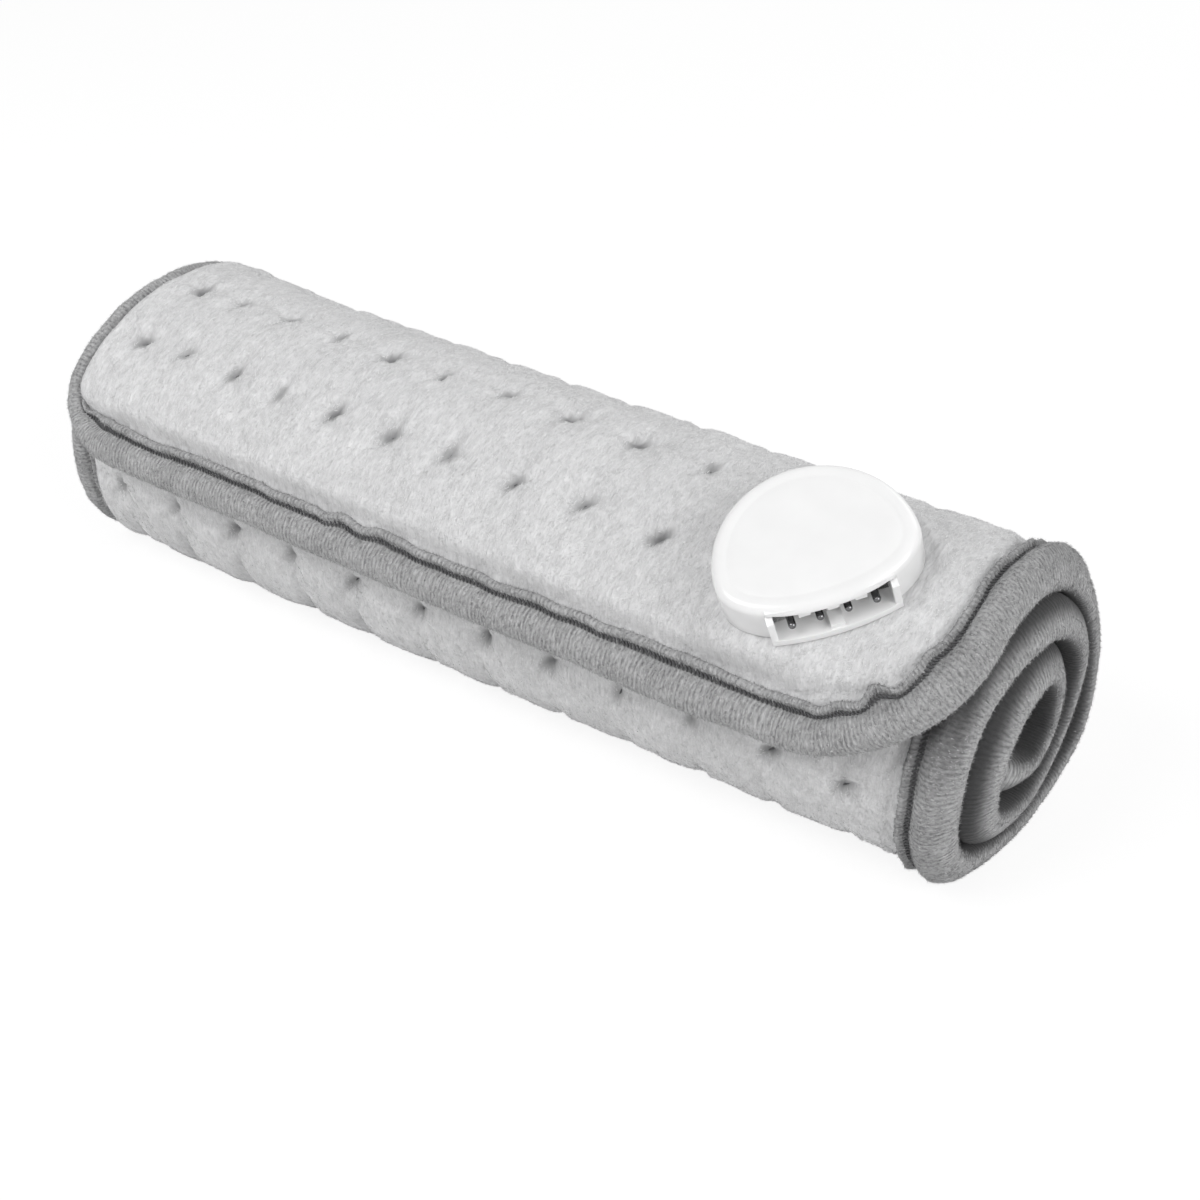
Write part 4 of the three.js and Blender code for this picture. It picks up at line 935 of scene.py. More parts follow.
def tuft_threads(name, chosen, finish):
    """The bar of thread at the bottom of each tuft."""
    x, s, _, turn = chosen.T
    height = face_height(x, s) + TACK_LIFT
    points = roll.place(x, s, height)
    out = roll.outward(s)
    side = np.tile([1.0, 0, 0], (len(x), 1))
    ahead = np.cross(out, side)
    along = side * np.cos(turn)[:, None] + ahead * np.sin(turn)[:, None]
    return lay(name, LAID_THREADS, points, along, out, TACK_SIZE, finish)


# The pile: short fibres combed along the pad, and finer fuzz on the tape
PILE_SEED = 51
PILE_PER_SQUARE_MM = 1.45
PILE_SIZE = (1.25 * MM, 0.28 * MM, 0.09 * MM)
PILE_END = 268 * MM
PILE_CLEAR = 0.3
PILE_OFF_SEAT = 0.85
PILE_LEAST_FULLNESS = 0.1
FUZZ_PER_SQUARE_MM = 1.9
FUZZ_SIZE = (1.05 * MM, 0.2 * MM, 0.08 * MM)
FUZZ_THINS = (0.1, 0.75)
FACING_INNER_END = 0.5
FUZZ_SEED_STEP = 5
PILE_LIFT = math.radians(13)
FUZZ_LIFT = math.radians(24)
FIBRE_FLOOR = 1.3 * MM
FIBRE_SPREAD = 0.5
FIBRE_TWIST = 0.28


def fibres(name, places, normals, chosen, density, size, slope, seed, finish):
    """Fibres combed along the columns of a grid of places, where a second grid allows them."""
    random = np.random.default_rng(seed)
    down, across = np.gradient(places, axis=0), np.gradient(places, axis=1)
    shown = chosen * (places[..., 2] > FIBRE_FLOOR)
    cell = (np.linalg.norm(np.cross(down, across), axis=-1) * shown)[:-1, :-1]
    count = int(cell.sum() / MM**2 * density)
    picked = random.choice(cell.size, count, p=cell.ravel() / cell.sum())
    i, k = np.unravel_index(picked, cell.shape)
    a, b = random.uniform(0, 1, (2, count, 1))
    row = lambda grid, j: mix(grid[j, k], grid[j, k + 1], b)
    read = lambda grid: mix(row(grid, i), row(grid, i + 1), a)
    out, ahead = unit(read(normals)), unit(read(down))
    side = unit(np.cross(out, ahead))
    lean = random.normal(0, FIBRE_SPREAD, (count, 1))
    combed = ahead * np.cos(lean) + side * np.sin(lean)
    lift = np.abs(random.normal(slope, slope / 2, (count, 1)))
    along = unit(combed * np.cos(lift) + out * np.sin(lift))
    flank = unit(np.cross(out, along))
    twist = random.normal(0, FIBRE_TWIST, (count, 1))
    face = np.cross(along, flank) * np.cos(twist) + flank * np.sin(twist)
    return lay(name, LAID_FIBRES, read(places), along, face, size, finish)


def pile_fibres(name, x, s, top, start, end, seed, finish):
    """Pile over a stretch of a sheet's face, from its grids of flat places and heights."""
    places = roll.place(x, s, top)
    normals = unit(np.cross(np.gradient(places, axis=1), np.gradient(places, axis=0)))
    normals = normals * np.sign((normals * roll.outward(s)).sum(axis=-1, keepdims=True))
    bare = (seat_height(x, s)[1] > PILE_OFF_SEAT) | (tuft_sum(x, s, pit) > PILE_CLEAR)
    chosen = (fullness(x, s) > PILE_LEAST_FULLNESS) & ~bare & (s >= start) & (s < end)
    return fibres(name, places, normals, chosen, PILE_PER_SQUARE_MM, PILE_SIZE, PILE_LIFT, seed, finish)


def tape_fuzz(name, path, seed, finish):
    """Fuzz over the outside of a tape, but not at the inner end, which the roll hides."""
    places = binding_places(path, SECTION_DEPTH, SECTION_HEIGHT, seed).transpose(1, 0, 2)
    normals = unit(np.cross(np.gradient(places, axis=1), np.gradient(places, axis=0)))
    away = places - places.mean(axis=0, keepdims=True)
    normals = normals * np.sign((normals * away).sum(axis=-1, keepdims=True).mean(axis=0, keepdims=True))
    open_side = np.arange(len(section_curve)) < FUZZ_STEPS * SECTION_STEPS
    at_inner_end = (path.out_s > FACING_INNER_END).T
    # fewer fibres where the tape's colour carries painted shade in the slits between the turns
    thinned = 1 - smoothstep(fold_shade(path, SECTION_HEIGHT).T, *FUZZ_THINS)
    chosen = open_side[:, None] * ~at_inner_end * thinned
    fuzz_seed = seed + FUZZ_SEED_STEP
    return fibres(name, places, normals, chosen, FUZZ_PER_SQUARE_MM, FUZZ_SIZE, FUZZ_LIFT, fuzz_seed, finish)


# Materials
CLOTH_FINISH = {"Roughness": 0.95, "Specular IOR Level": 0.15, "Sheen Roughness": 0.45}
FIBRE_FINISH = {"Roughness": 0.9, "Specular IOR Level": 0.15}
TONE_RANGE = (0.3, 0.7)


def new_material(name, finish=None):
    """A material with plain values on its shader, its nodes and that shader."""
    material = bpy.data.materials.new(name)
    material.use_nodes = True
    tree = material.node_tree
    shader = tree.nodes["Principled BSDF"]
    for socket, value in (finish or {}).items():
        shader.inputs[socket].default_value = value
    return material, tree, shader


def feed(tree, socket, value):
    """Links an output to a socket, or sets a plain value on it."""
    if isinstance(value, bpy.types.NodeSocket):
        tree.links.new(value, socket)
    else:
        socket.default_value = value


def maths(tree, operation, *values):
    node = add(tree, "ShaderNodeMath", operation=operation)
    for socket, value in zip(node.inputs, values):
        feed(tree, socket, value)
    return node.outputs[0]


def attribute(tree, name):
    return add(tree, "ShaderNodeAttribute", attribute_name=name).outputs["Fac"]


def noise(tree, vector, scale, detail, roughness):
    node = add(tree, "ShaderNodeTexNoise", Scale=scale, Detail=detail, Roughness=roughness)
    tree.links.new(vector, node.inputs["Vector"])
    return node.outputs["Fac"]


def pad_noise(tree, stretch, scale, detail, roughness):
    """Noise on the flat pad's own map, in metres, drawn out along the map's second way."""
    source = add(tree, "ShaderNodeUVMap", uv_map="flat")
    mapping = add(tree, "ShaderNodeMapping", Scale=(1, stretch, 1))
    tree.links.new(source.outputs["UV"], mapping.inputs["Vector"])
    return noise(tree, mapping.outputs["Vector"], scale, detail, roughness)


def body_noise(tree, scale, detail, roughness):
    return noise(tree, add(tree, "ShaderNodeTexCoord").outputs["Object"], scale, detail, roughness)


def ranged(tree, value, source=(0, 1), target=(0, 1)):
    """A value brought from one range into another."""
    ends = zip(("From Min", "From Max", "To Min", "To Max"), (*source, *target))
    node = add(tree, "ShaderNodeMapRange", **dict(ends))
    tree.links.new(value, node.inputs["Value"])
    return node.outputs["Result"]


def blend_colour(tree, factor, a, b):
    """A colour between two, each a plain colour or the output of a node."""
    node = add(tree, "ShaderNodeMix", data_type="RGBA")
    tree.links.new(factor, node.inputs[0])
    for socket, colour in ((node.inputs[6], a), (node.inputs[7], b)):
        feed(tree, socket, (*colour, 1) if isinstance(colour, tuple) else colour)
    return node.outputs[2]


def ramp(tree, factor, source, dark, light):
    """A colour between two as a value crosses a range."""
    return blend_colour(tree, ranged(tree, factor, source), dark, light)


def tint(tree, shader, tone, dark, light):
    tree.links.new(ramp(tree, tone, TONE_RANGE, dark, light), shader.inputs["Base Color"])


def bump(tree, shader, *layers):
    """Bumps laid over each other: each a height, its strength and its depth in metres."""
    last = None
    for height, strength, depth in layers:
        node = add(tree, "ShaderNodeBump", Strength=strength, Distance=depth)
        tree.links.new(height, node.inputs["Height"])
        if last is not None:
            tree.links.new(last, node.inputs["Normal"])
        last = node.outputs["Normal"]
    tree.links.new(last, shader.inputs["Normal"])


PLUSH_DARK = (0.53, 0.53, 0.535)
PLUSH_LIGHT = (0.85, 0.85, 0.855)
PLUSH_TONES = (0.85, 1.65)
PLUSH_PATCHES = 0.5
# Painted shade in the pits of the tufts: its grey, and the range of the pit mask that it follows
PIT_SHADE_GREY = (0.173, 0.173, 0.177)
PIT_SHADE_RANGE = (0.06, 1.1)


def plush_material():
    """Short brushed pile: streaks along the nap, patches where it lies another way, and painted shade in the
    pits of the tufts.
    """
    material, tree, shader = new_material("grey_plush", CLOTH_FINISH | {"Sheen Weight": 0.25})
    streaks = pad_noise(tree, stretch=0.3, scale=1500, detail=4, roughness=0.6)
    clumps = pad_noise(tree, stretch=0.55, scale=420, detail=3, roughness=0.6)
    patches = pad_noise(tree, stretch=1, scale=55, detail=3, roughness=0.5)
    pile = maths(tree, "MULTIPLY_ADD", patches, PLUSH_PATCHES, maths(tree, "ADD", streaks, clumps))
    colour = ramp(tree, pile, PLUSH_TONES, PLUSH_DARK, PLUSH_LIGHT)
    # painted shade darkens the plush in the pits of the tufts
    deep = ranged(tree, attribute(tree, "pit_shade"), PIT_SHADE_RANGE)
    tree.links.new(blend_colour(tree, deep, colour, PIT_SHADE_GREY), shader.inputs["Base Color"])
    bump(tree, shader, (clumps, 0.6, 0.9 * MM), (streaks, 0.55, 0.5 * MM))
    return material


# Darker and lighter colour of the single fibres
FIBRE_TONES = {
    "plush_fibre": ((0.615, 0.615, 0.62), (0.9, 0.9, 0.905)),
    "tape_fibre": ((0.119, 0.119, 0.121), (0.735, 0.735, 0.74)),
}


def fibre_material(name):
    """Single fibres of the pile, each a little lighter or darker."""
    material, tree, shader = new_material(name, FIBRE_FINISH)
    dark, light = FIBRE_TONES[name]
    tint(tree, shader, body_noise(tree, scale=1300, detail=2, roughness=0.6), dark, light)
    return material


RIB_PITCH = 1.35 * MM
RIB_WANDER = 7.5
RIB_TONE = 0.13
TAPE_PATCHES = 0.3
TAPE_TONES = (0.45, 0.86)
BINDING_DARK = (0.227, 0.227, 0.23)
BINDING_LIGHT = (0.585, 0.585, 0.59)
# Painted shade in the seam's groove
GROOVE_SHADE_GREY = (0.108, 0.108, 0.11)
# Painted shade in the slits between the turns: its grey and how fully it shows
FOLD_SHADE_GREY = (0.049, 0.049, 0.05)
FOLD_SHADE = 0.94


def binding_material():
    """Knitted velour tape: fine uneven ribs across the tape, with short pile between them, and painted shade
    in the seam's groove and in the slits between the turns.
    """
    material, tree, shader = new_material("ribbed_binding", CLOTH_FINISH | {"Sheen Weight": 0.08})
    wander = pad_noise(tree, stretch=0.35, scale=330, detail=2, roughness=0.5)
    fading = pad_noise(tree, stretch=0.8, scale=210, detail=2, roughness=0.5)
    fuzz = pad_noise(tree, stretch=0.35, scale=1400, detail=4, roughness=0.65)
    patches = pad_noise(tree, stretch=1, scale=90, detail=3, roughness=0.5)
    split = add(tree, "ShaderNodeSeparateXYZ")
    tree.links.new(add(tree, "ShaderNodeUVMap", uv_map="flat").outputs["UV"], split.inputs["Vector"])
    phase = maths(tree, "MULTIPLY", split.outputs["X"], FULL_TURN / RIB_PITCH)
    even_rib = maths(tree, "SINE", maths(tree, "MULTIPLY_ADD", wander, RIB_WANDER, phase))
    rib = maths(tree, "MULTIPLY", even_rib, fading)
    worn = maths(tree, "MULTIPLY_ADD", rib, RIB_TONE, fuzz)
    tone = maths(tree, "MULTIPLY_ADD", patches, TAPE_PATCHES, worn)
    colour = ramp(tree, tone, TAPE_TONES, BINDING_DARK, BINDING_LIGHT)
    # painted shade: the tape darkens in the slits between the turns
    painted_fold_shade = maths(tree, "MULTIPLY", attribute(tree, "fold"), FOLD_SHADE)
    colour = blend_colour(tree, painted_fold_shade, colour, FOLD_SHADE_GREY)
    # painted shade in the seam's groove
    colour = blend_colour(tree, attribute(tree, "groove"), colour, GROOVE_SHADE_GREY)
    tree.links.new(colour, shader.inputs["Base Color"])
    bump(tree, shader, (rib, 0.5, 0.25 * MM), (fuzz, 0.8, 0.6 * MM))
    return material


THREAD_DARK = (0.045, 0.045, 0.047)
THREAD_LIGHT = (0.12, 0.12, 0.124)
FELT_DARK = (0.66, 0.63, 0.57)
FELT_LIGHT = (0.82, 0.79, 0.73)


def thread_material():
    material, tree, shader = new_material("dark_thread", {"Roughness": 0.8})
    fibre = body_noise(tree, scale=2600, detail=3, roughness=0.6)
    tint(tree, shader, fibre, THREAD_DARK, THREAD_LIGHT)
    bump(tree, shader, (fibre, 0.5, 0.1 * MM))
    return material


def felt_material():
    material, tree, shader = new_material("needled_felt", {"Roughness": 1.0})
    fibre = body_noise(tree, scale=900, detail=5, roughness=0.7)
    tint(tree, shader, fibre, FELT_DARK, FELT_LIGHT)
    bump(tree, shader, (fibre, 0.5, 0.4 * MM))
    return material


# Darker and lighter colour of the mouldings, and their roughness
MOULDINGS = {
    "gloss_white": ((0.89, 0.89, 0.89), (0.92, 0.92, 0.92), 0.2),
    "satin_carrier": ((0.7, 0.7, 0.68), (0.78, 0.78, 0.76), 0.5),
    "cream_insulation": ((0.72, 0.67, 0.54), (0.81, 0.76, 0.62), 0.55),
    "matt_sleeve": ((0.018, 0.018, 0.02), (0.03, 0.03, 0.032), 0.6),
}
# Colour of the metals and their roughness; the contacts are coloured dark as a painted dark reflection, for
# the white world gives their chrome nothing dark to mirror
METALS = {"contact_painted_reflection": ((0.17, 0.17, 0.175), 0.09), "zinc_screw": ((0.5, 0.5, 0.52), 0.35)}
MOULDED_GLOSS = (0.85, 1.15)
DRAWN_GLOSS = (0.7, 1.4)
DRAWN_SHADE = 0.85


def vary_gloss(tree, shader, tone, roughness, spread):
    varied = ranged(tree, tone, target=[roughness * share for share in spread])
    tree.links.new(varied, shader.inputs["Roughness"])


def moulded_material(name):
    """Moulded plastic with a faint unevenness of its gloss and skin."""
    material, tree, shader = new_material(name)
    dark, light, roughness = MOULDINGS[name]
    skin = body_noise(tree, scale=90, detail=2, roughness=0.5)
    grain = body_noise(tree, scale=1400, detail=2, roughness=0.5)
    tint(tree, shader, skin, dark, light)
    vary_gloss(tree, shader, grain, roughness, MOULDED_GLOSS)
    bump(tree, shader, (skin, 0.06, 0.2 * MM), (grain, 0.04, 0.05 * MM))
    return material


def metal_material(name):
    """Bright metal with fine drawn lines."""
    material, tree, shader = new_material(name, {"Metallic": 1.0})
    colour, roughness = METALS[name]
    lines = body_noise(tree, scale=1800, detail=3, roughness=0.6)
    tint(tree, shader, lines, tuple(DRAWN_SHADE * value for value in colour), colour)
    vary_gloss(tree, shader, lines, roughness, DRAWN_GLOSS)
    bump(tree, shader, (lines, 0.08, 0.05 * MM))
    return material


# The socket housing, drawn finer than in the frame
OUTLINE_POINTS = 180
FILLET_STEPS = 8
CROWN = 0.35 * MM
CROWN_SHARES = (0.45, 0.65, 0.8, 0.92)
RIM_LINE = 4.2 * MM
RIM_DEPTH = 0.22 * MM
RIM_HALF = 0.5 * MM
RIM_SWELL = 0.04 * MM
CUT_PAST = 1 * MM
BASE_THICKNESS = 2.2 * MM
MOUTH_OUTER = 16.5 * MM
CHEEK_WALL = 1.5 * MM
MOUTH_HEIGHT = 9.8 * MM
MOUTH_STEPS = 25
CHEEK_REACH = 2.8 * MM
TONGUE_REACH = 1.8 * MM
KEY_WIDTH = 3.6 * MM
KEY_HEIGHT = 1.4 * MM
TAB_WIDTH = 3 * MM
TAB_DROP = 1.5 * MM
TAB_DEPTH = 2 * MM
BROW_SETBACK = 2.5 * MM
BROW_THICKNESS = 1.4 * MM
KEY_SETBACK = 0.6 * MM
PIN_COUNT = 4
PIN_PITCH = 7.2 * MM
PIN_RADIUS = 1 * MM
PIN_REACH = 9 * MM
PIN_LENGTH = 18 * MM
PIN_HEIGHT = 5.8 * MM
PIN_NOSE_STEPS = 8
PIN_SIDES = 24
MERGE_WITHIN = 0.001 * MM
CARRIER_SETBACK = 9 * MM
EDGE_ROUND = 0.22 * MM
EDGE_SEGMENTS = 2
SHARP_ANGLE = math.radians(35)
PIN_SHARP_ANGLE = math.radians(40)
CARRIER_FRONT = -HOUSING_FRONT + CARRIER_SETBACK


def pin_x(index):
    return (index - (PIN_COUNT - 1) / 2) * PIN_PITCH


def outline(inset):
    """The housing's outline: a round back and a squarer front, drawn in by an inset."""
    angle = (np.arange(OUTLINE_POINTS) + 0.5) / OUTLINE_POINTS * FULL_TURN
    back = np.sin(angle) >= 0
    power = np.where(back, 1, 2 / FRONT_SQUARENESS)
    reach = np.where(back, HOUSING_BACK, HOUSING_FRONT) - inset
    signed = lambda value: np.sign(value) * np.abs(value) ** power
    return np.stack([(HOUSING_HALF - inset) * signed(np.cos(angle)), reach * signed(np.sin(angle))], axis=1)


def outline_front(x):
    across = abs(x) / HOUSING_HALF
    return -HOUSING_FRONT * (1 - across**FRONT_SQUARENESS) ** (1 / FRONT_SQUARENESS)


def lofted(name, rings):
    """A closed body through rings of the outline, each an inset and a height."""
    work = bmesh.new()
    loops = []
    for inset, height in rings:
        loops.append([work.verts.new((x, y, height)) for x, y in outline(inset)])
    for lower, upper in zip(loops, loops[1:]):
        for i in range(OUTLINE_POINTS):
            k = (i + 1) % OUTLINE_POINTS
            work.faces.new((lower[i], lower[k], upper[k], upper[i]))
    work.faces.new(loops[0][::-1])
    work.faces.new(loops[-1])
    return finished(name, work)


def finished(name, work):
    bmesh.ops.recalc_face_normals(work, faces=work.faces)
    mesh = bpy.data.meshes.new(name)
    work.to_mesh(mesh)
    work.free()
    return new_object(name, mesh)


def prism(name, corners, low, high):
    """An upright body on a flat outline given as a list of points."""
    work = bmesh.new()
    floor = work.faces.new([work.verts.new((x, y, low)) for x, y in corners])
    raised = bmesh.ops.extrude_face_region(work, geom=[floor])["geom"]
    top = [item for item in raised if isinstance(item, bmesh.types.BMVert)]
    bmesh.ops.translate(work, verts=top, vec=(0, 0, high - low))
    return finished(name, work)


def block(name, x0, x1, y0, y1, z0, z1):
    return prism(name, [(x0, y0), (x1, y0), (x1, y1), (x0, y1)], z0, z1)


def combine(body, others, operation):
    """Joins or cuts bodies, and removes the ones used up."""
    for other in others:
        step = body.modifiers.new("combine", "BOOLEAN")
        step.operation = operation
        step.solver = "EXACT"
        step.object = other
        settle_modifiers(body)
        bpy.data.objects.remove(other)
    return body


def settle_modifiers(body):
    bpy.context.view_layer.update()
    evaluated = body.evaluated_get(bpy.context.evaluated_depsgraph_get())
    mesh = bpy.data.meshes.new_from_object(evaluated)
    body.modifiers.clear()
    old = body.data
    body.data = mesh
    mesh.name = body.name
    bpy.data.meshes.remove(old)


def soften(body):
    """Rounds the sharp edges, as far as the short edges beside them allow, and shades the rest smooth."""
    bevel = body.modifiers.new("rounded", "BEVEL")
    bevel.width = EDGE_ROUND
    bevel.segments = EDGE_SEGMENTS
    bevel.limit_method = "ANGLE"
    bevel.angle_limit = SHARP_ANGLE
    bevel.harden_normals = False
    settle_modifiers(body)
    body.data.shade_smooth()
    body.data.set_sharp_from_angle(angle=SHARP_ANGLE)


def seat_on_pad(body):
    body.data.transform(HOUSING_PLACE)
    return body


def cover_rings():
    """Rings of the cover's outside: an upright wall, a rounded rim, a fine step and a faint crown."""
    rings = [(0, 0)]
    for i in range(FILLET_STEPS + 1):
        angle = i / FILLET_STEPS * math.pi / 2
        inset = HOUSING_FILLET * (1 - math.cos(angle))
        rings.append((inset, HOUSING_HEIGHT - HOUSING_FILLET + HOUSING_FILLET * math.sin(angle)))
    rings.append((RIM_LINE - RIM_HALF, HOUSING_HEIGHT + RIM_SWELL))
    rings.append((RIM_LINE, HOUSING_HEIGHT - RIM_DEPTH / 2))
    rings.append((RIM_LINE + RIM_HALF, HOUSING_HEIGHT))
    for share in CROWN_SHARES:
        rings.append((HOUSING_FRONT * share, HOUSING_HEIGHT + CROWN * (1 - (1 - share) ** 2)))
    return rings


def socket_cover():
    """The cover with its mouth: the brow is joined on first, and the opening then trims its underside."""
    body = lofted("socket_cover", cover_rings())
    hollow = lofted("hollow", [(HOUSING_WALL, -CUT_PAST), (HOUSING_WALL, HOUSING_HEIGHT - HOUSING_WALL)])
    brow_low, brow_top = MOUTH_HEIGHT - CUT_PAST, MOUTH_HEIGHT + BROW_THICKNESS
    brow = prism("brow", mouth_plan(BROW_SETBACK), brow_low, brow_top)
    wide = MOUTH_OUTER + FIT
    opening = block("opening", -wide, wide, -2 * HOUSING_BACK, CARRIER_FRONT, -CUT_PAST, MOUTH_HEIGHT)
    combine(body, [hollow], "DIFFERENCE")
    combine(body, [brow], "UNION")
    combine(body, [opening], "DIFFERENCE")
    tabs = []
    for i in range(PIN_COUNT - 1):
        x = (pin_x(i) + pin_x(i + 1)) / 2
        front = mouth_front(x, BROW_SETBACK) - FIT
        low, top = MOUTH_HEIGHT - TAB_DROP, MOUTH_HEIGHT + BROW_THICKNESS / 2
        side = TAB_WIDTH / 2
        tabs.append(block(f"tab_{i}", x - side, x + side, front, front + TAB_DEPTH, low, top))
    combine(body, tabs, "UNION")
    soften(body)
    return seat_on_pad(body)


def mouth_front(x, setback):
    middle = -HOUSING_FRONT - TONGUE_REACH + setback
    side = outline_front(MOUTH_OUTER) - CHEEK_REACH + setback
    return middle + (side - middle) * (x / MOUTH_OUTER) ** 2


def mouth_plan(setback):
    """The mouth seen from above: straight sides, and a front that bows out, drawn back by a setback."""
    x = np.linspace(-MOUTH_OUTER, MOUTH_OUTER, MOUTH_STEPS)
    return [(MOUTH_OUTER, CARRIER_FRONT), (-MOUTH_OUTER, CARRIER_FRONT), *zip(x, mouth_front(x, setback))]


def socket_base():
    body = lofted("socket_base", [(HOUSING_WALL + FIT, 0), (HOUSING_WALL + FIT, BASE_THICKNESS)])
    floor = prism("tongue", mouth_plan(0), 0, BASE_THICKNESS)
    front = mouth_front(MOUTH_OUTER, 0)
    top = MOUTH_HEIGHT - FIT
    inner = MOUTH_OUTER - CHEEK_WALL
    cheeks = [
        block("left_cheek", -MOUTH_OUTER - FIT, -inner, front, CARRIER_FRONT, 0, top),
        block("right_cheek", inner, MOUTH_OUTER + FIT, front, CARRIER_FRONT, 0, top),
    ]
    key_front, key_top = mouth_front(0, KEY_SETBACK), BASE_THICKNESS + KEY_HEIGHT
    key = block("key", -KEY_WIDTH / 2, KEY_WIDTH / 2, key_front, CARRIER_FRONT, 0, key_top)
    combine(body, [floor, *cheeks, key], "UNION")
    soften(body)
    return seat_on_pad(body)


def contact_pin(index):
    """A round-nosed pin, turned about its length."""
    nose = np.linspace(0, math.pi / 2, PIN_NOSE_STEPS)
    profile = [(PIN_RADIUS * math.sin(a), PIN_RADIUS * (1 - math.cos(a))) for a in nose]
    profile += [(PIN_RADIUS, PIN_LENGTH), (0, PIN_LENGTH)]
    work = bmesh.new()
    chain = [work.verts.new((x, y, 0)) for x, y in profile]
    edges = [work.edges.new(pair) for pair in zip(chain, chain[1:])]
    about = {"axis": (0, 1, 0), "cent": (0, 0, 0), "angle": FULL_TURN, "steps": PIN_SIDES}
    bmesh.ops.spin(work, geom=chain + edges, **about)
    bmesh.ops.remove_doubles(work, verts=work.verts, dist=MERGE_WITHIN)
    pin = finished(f"round_pin_{index + 1}", work)
    pin.data.transform(Matrix.Translation((pin_x(index), CARRIER_FRONT - PIN_REACH, PIN_HEIGHT)))
    pin.data.shade_smooth()
    pin.data.set_sharp_from_angle(angle=PIN_SHARP_ANGLE)
    return seat_on_pad(pin)


# Stage, light and camera
CAMERA_PLACE = (258.42 * MM, -346.76 * MM, 329.15 * MM)
CAMERA_AZIMUTH = math.radians(34.80)
CAMERA_ELEVATION = math.radians(35.18)
PHOTO_WIDTH_PX = 1200
FOCAL_PX = 1700
SENSOR_WIDTH = 36
CLIP_START = 0.01
FLOOR_SIZE = 1.8
FLOOR_FINISH = {"Base Color": (0.86, 0.86, 0.86, 1), "Roughness": 0.9, "Specular IOR Level": 0.0}
FLOOR_SHADOW = 0.22
FLOOR_WHITE = 1.1
WHITE = (1, 1, 1, 1)
WORLD_LIGHT = 0.276
LIGHT_AIM = Vector((0, 0, 0.05))
LIGHTS = {
    "key_light": {"azimuth": -28, "elevation": 46, "distance": 1.3, "size": 0.8, "power": 9.0},
    "fill_light": {"azimuth": 78, "elevation": 30, "distance": 1.8, "size": 1.2, "power": 14.7},
    "back_light": {"azimuth": 170, "elevation": 40, "distance": 1.8, "size": 1.2, "power": 5.5},
}


def back_vector(azimuth, elevation):
    flat = math.cos(elevation)
    return Vector((math.sin(azimuth) * flat, -math.cos(azimuth) * flat, math.sin(elevation)))


def make_camera():
    data = bpy.data.cameras.new("camera")
    data.sensor_width = SENSOR_WIDTH
    data.lens = FOCAL_PX / PHOTO_WIDTH_PX * SENSOR_WIDTH
    data.clip_start = CLIP_START
    camera = new_object("camera", data)
    camera.location = CAMERA_PLACE
    towards = -back_vector(CAMERA_AZIMUTH, CAMERA_ELEVATION)
    camera.rotation_euler = towards.to_track_quat("-Z", "Y").to_euler()
    bpy.context.scene.camera = camera


def seen_directly(tree):
    """1 for what the camera sees, straight or in a reflection or through glass."""
    rays = add(tree, "ShaderNodeLightPath").outputs
    mirrored = maths(tree, "MAXIMUM", rays["Is Camera Ray"], rays["Is Glossy Ray"])
    return maths(tree, "MAXIMUM", mirrored, rays["Is Transmission Ray"])


def choose_shader(tree, share, plain, shown, out):
    """Shows one shader for another by a share."""
    node = add(tree, "ShaderNodeMixShader")
    for socket, value in zip(node.inputs, (share, plain, shown)):
        tree.links.new(value, socket)
    tree.links.new(node.outputs[0], out.inputs["Surface"])


def make_world():
    world = bpy.data.worlds.new("studio")
    bpy.context.scene.world = world
    world.use_nodes = True
    tree = world.node_tree
    tree.nodes.clear()
    soft = add(tree, "ShaderNodeBackground", Color=WHITE, Strength=WORLD_LIGHT).outputs[0]
    white = add(tree, "ShaderNodeBackground", Color=WHITE, Strength=1).outputs[0]
    choose_shader(tree, seen_directly(tree), soft, white, add(tree, "ShaderNodeOutputWorld"))


def make_floor():
    work = bmesh.new()
    bmesh.ops.create_grid(work, x_segments=1, y_segments=1, size=FLOOR_SIZE / 2)
    floor = finished("floor", work)
    material, tree, shader = new_material("pale_floor", FLOOR_FINISH)
    white = add(tree, "ShaderNodeEmission", Color=WHITE, Strength=FLOOR_WHITE)
    share = maths(tree, "MULTIPLY", seen_directly(tree), 1 - FLOOR_SHADOW)
    choose_shader(tree, share, shader.outputs[0], white.outputs[0], tree.nodes["Material Output"])
    floor.data.materials.append(material)


def make_light(name, azimuth, elevation, distance, size, power):
    data = bpy.data.lights.new(name, "AREA")
    data.shape = "DISK"
    data.size = size
    data.energy = power
    light = new_object(name, data)
    away = back_vector(math.radians(azimuth), math.radians(elevation))
    light.location = away * distance + LIGHT_AIM
    light.rotation_euler = (-away).to_track_quat("-Z", "Y").to_euler()


def make_studio():
    make_camera()
    make_world()
    make_floor()
    for name, values in LIGHTS.items():
        make_light(name, **values)
    bpy.context.scene.view_settings.view_transform = "Standard"


# Putting the pieces on the frame
FLAP_TAPE_SEED = 31
ROLL_TAPE_SEED = 41


def dress(piece, material):
    piece.data.materials.clear()
    piece.data.materials.append(material)


def bend_with_flap(piece):
    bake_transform(piece)


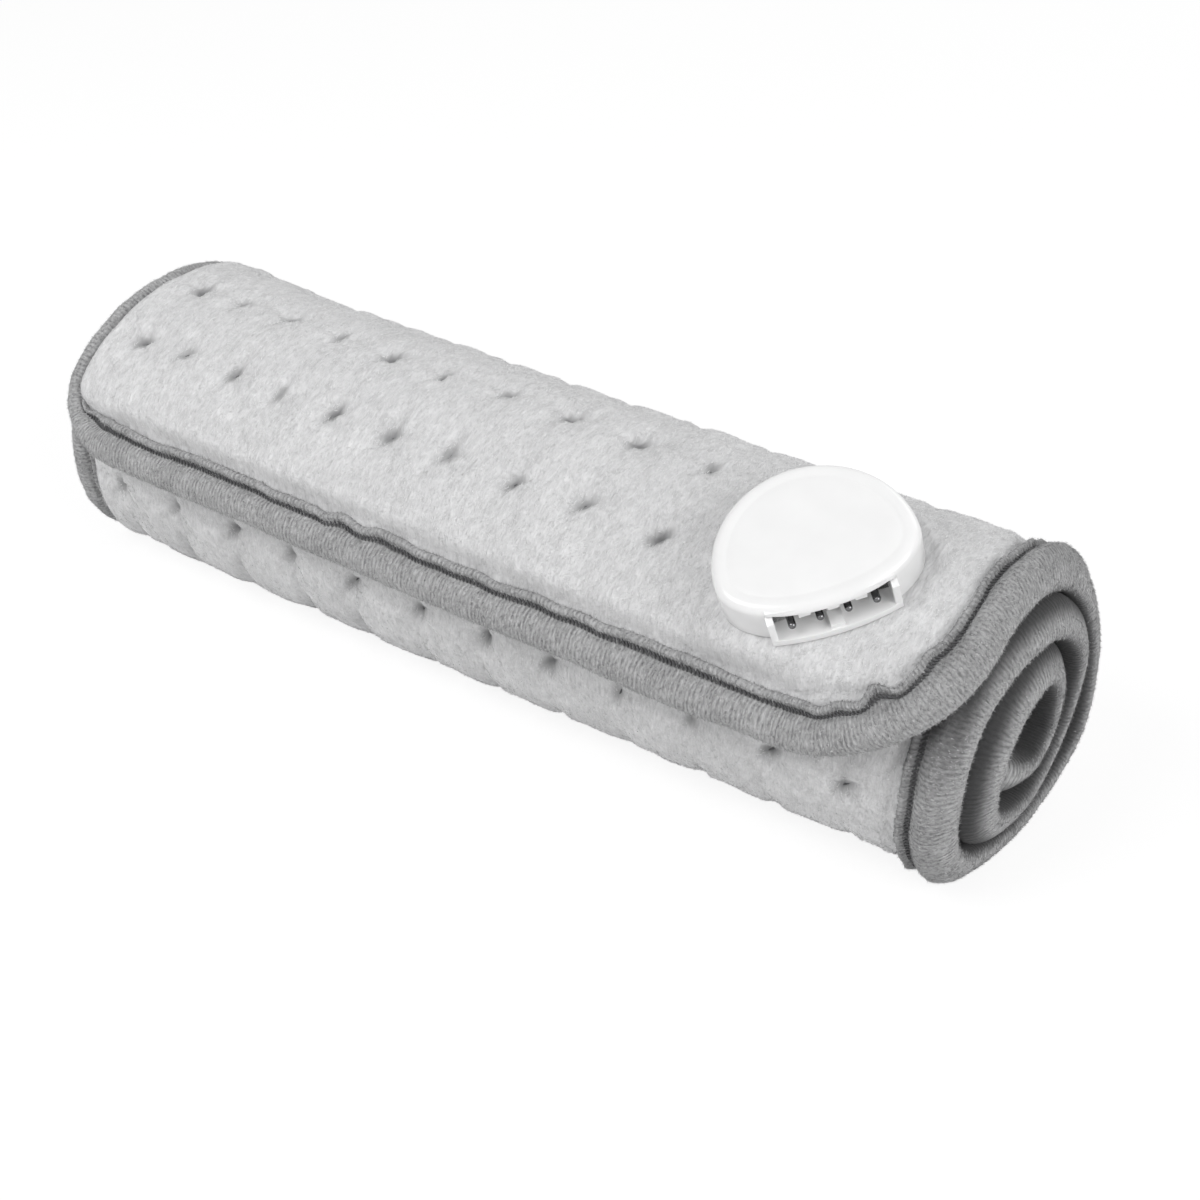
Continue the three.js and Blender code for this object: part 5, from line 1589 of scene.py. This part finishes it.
def make_pad():
    plush, tape, thread = plush_material(), binding_material(), thread_material()
    fibre = fibre_material("plush_fibre")
    tape_fibre = fibre_material("tape_fibre")
    (outer, *outer_face), (inner, *inner_face) = quilted_pad()
    outer_pile = pile_fibres("flap_pile", *outer_face, 0, FLAP_LENGTH, PILE_SEED, fibre)
    back_pile = pile_fibres("back_pile", *outer_face, FLAP_LENGTH, roll.rest_s, PILE_SEED + 1, fibre)
    inner_pile = pile_fibres("roll_pile", *inner_face, roll.rest_s, PILE_END, PILE_SEED + 2, fibre)
    flap_path, roll_path = flap_edge_path(), roll_edge_path()
    flap_seed, roll_seed = FLAP_TAPE_SEED, ROLL_TAPE_SEED
    flap_tape = binding("flap_binding", flap_path, flap_seed)
    roll_tape = binding("roll_binding", roll_path, roll_seed)
    flap_fuzz = tape_fuzz("flap_fuzz", flap_path, flap_seed, tape_fibre)
    roll_fuzz = tape_fuzz("roll_fuzz", roll_path, roll_seed, tape_fibre)
    flap_seam = seam_threads("flap_seam", flap_path, flap_seed, thread)
    roll_seam = seam_threads("roll_seam", roll_path, roll_seed, thread)
    on_outer = tufts[:, 1] < roll.rest_s
    shown = tufts[:, 1] < SHOWN_END
    outer_tacks = tuft_threads("flap_tacks", tufts[on_outer], thread)
    inner_tacks = tuft_threads("roll_tacks", tufts[~on_outer & shown], thread)
    for piece in (outer, inner):
        dress(piece, plush)
    for piece in (flap_tape, roll_tape):
        dress(piece, tape)
    for piece in (outer, flap_tape, flap_seam, outer_tacks, outer_pile, back_pile, flap_fuzz):
        bend_with_flap(piece)
    for piece in (inner, roll_tape, roll_seam, inner_tacks, inner_pile, roll_fuzz):
        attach(piece, "roll")
    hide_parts("face_panel_flap", "back_panel_flap")
    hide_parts("face_panel_roll", "back_panel_roll")
    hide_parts("edge_binding_flap")
    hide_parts("left_binding_roll", "right_binding_roll", "inner_end_binding")


def make_socket():
    white = moulded_material("gloss_white")
    # The contacts' metal is coloured dark: a painted dark reflection.
    bright = metal_material("contact_painted_reflection")
    for piece, node in ((socket_cover(), "connector_cover"), (socket_base(), "connector_base")):
        dress(piece, white)
        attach(piece, "flap")
        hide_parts(node)
    for i in range(PIN_COUNT):
        pin = contact_pin(i)
        dress(pin, bright)
        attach(pin, "flap")
        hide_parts(f"contact_pin_{i + 1}")


def finish_inner_nodes():
    """Materials for what stays inside the pad and the housing."""
    felt = felt_material()
    satin = moulded_material("satin_carrier")
    cream = moulded_material("cream_insulation")
    sleeve = moulded_material("matt_sleeve")
    steel = metal_material("zinc_screw")
    finishes = {
        "felt": felt,
        "carrier": satin,
        "backing": satin,
        "wire": cream,
        "lead": cream,
        "sleeve": sleeve,
        "screw": steel,
    }
    for name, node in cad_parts.items():
        if node.hide_render:
            continue
        word = next(word for word in finishes if word in name)
        node.data.materials.clear()
        node.data.materials.append(finishes[word])


make_studio()
make_pad()
make_socket()
finish_inner_nodes()
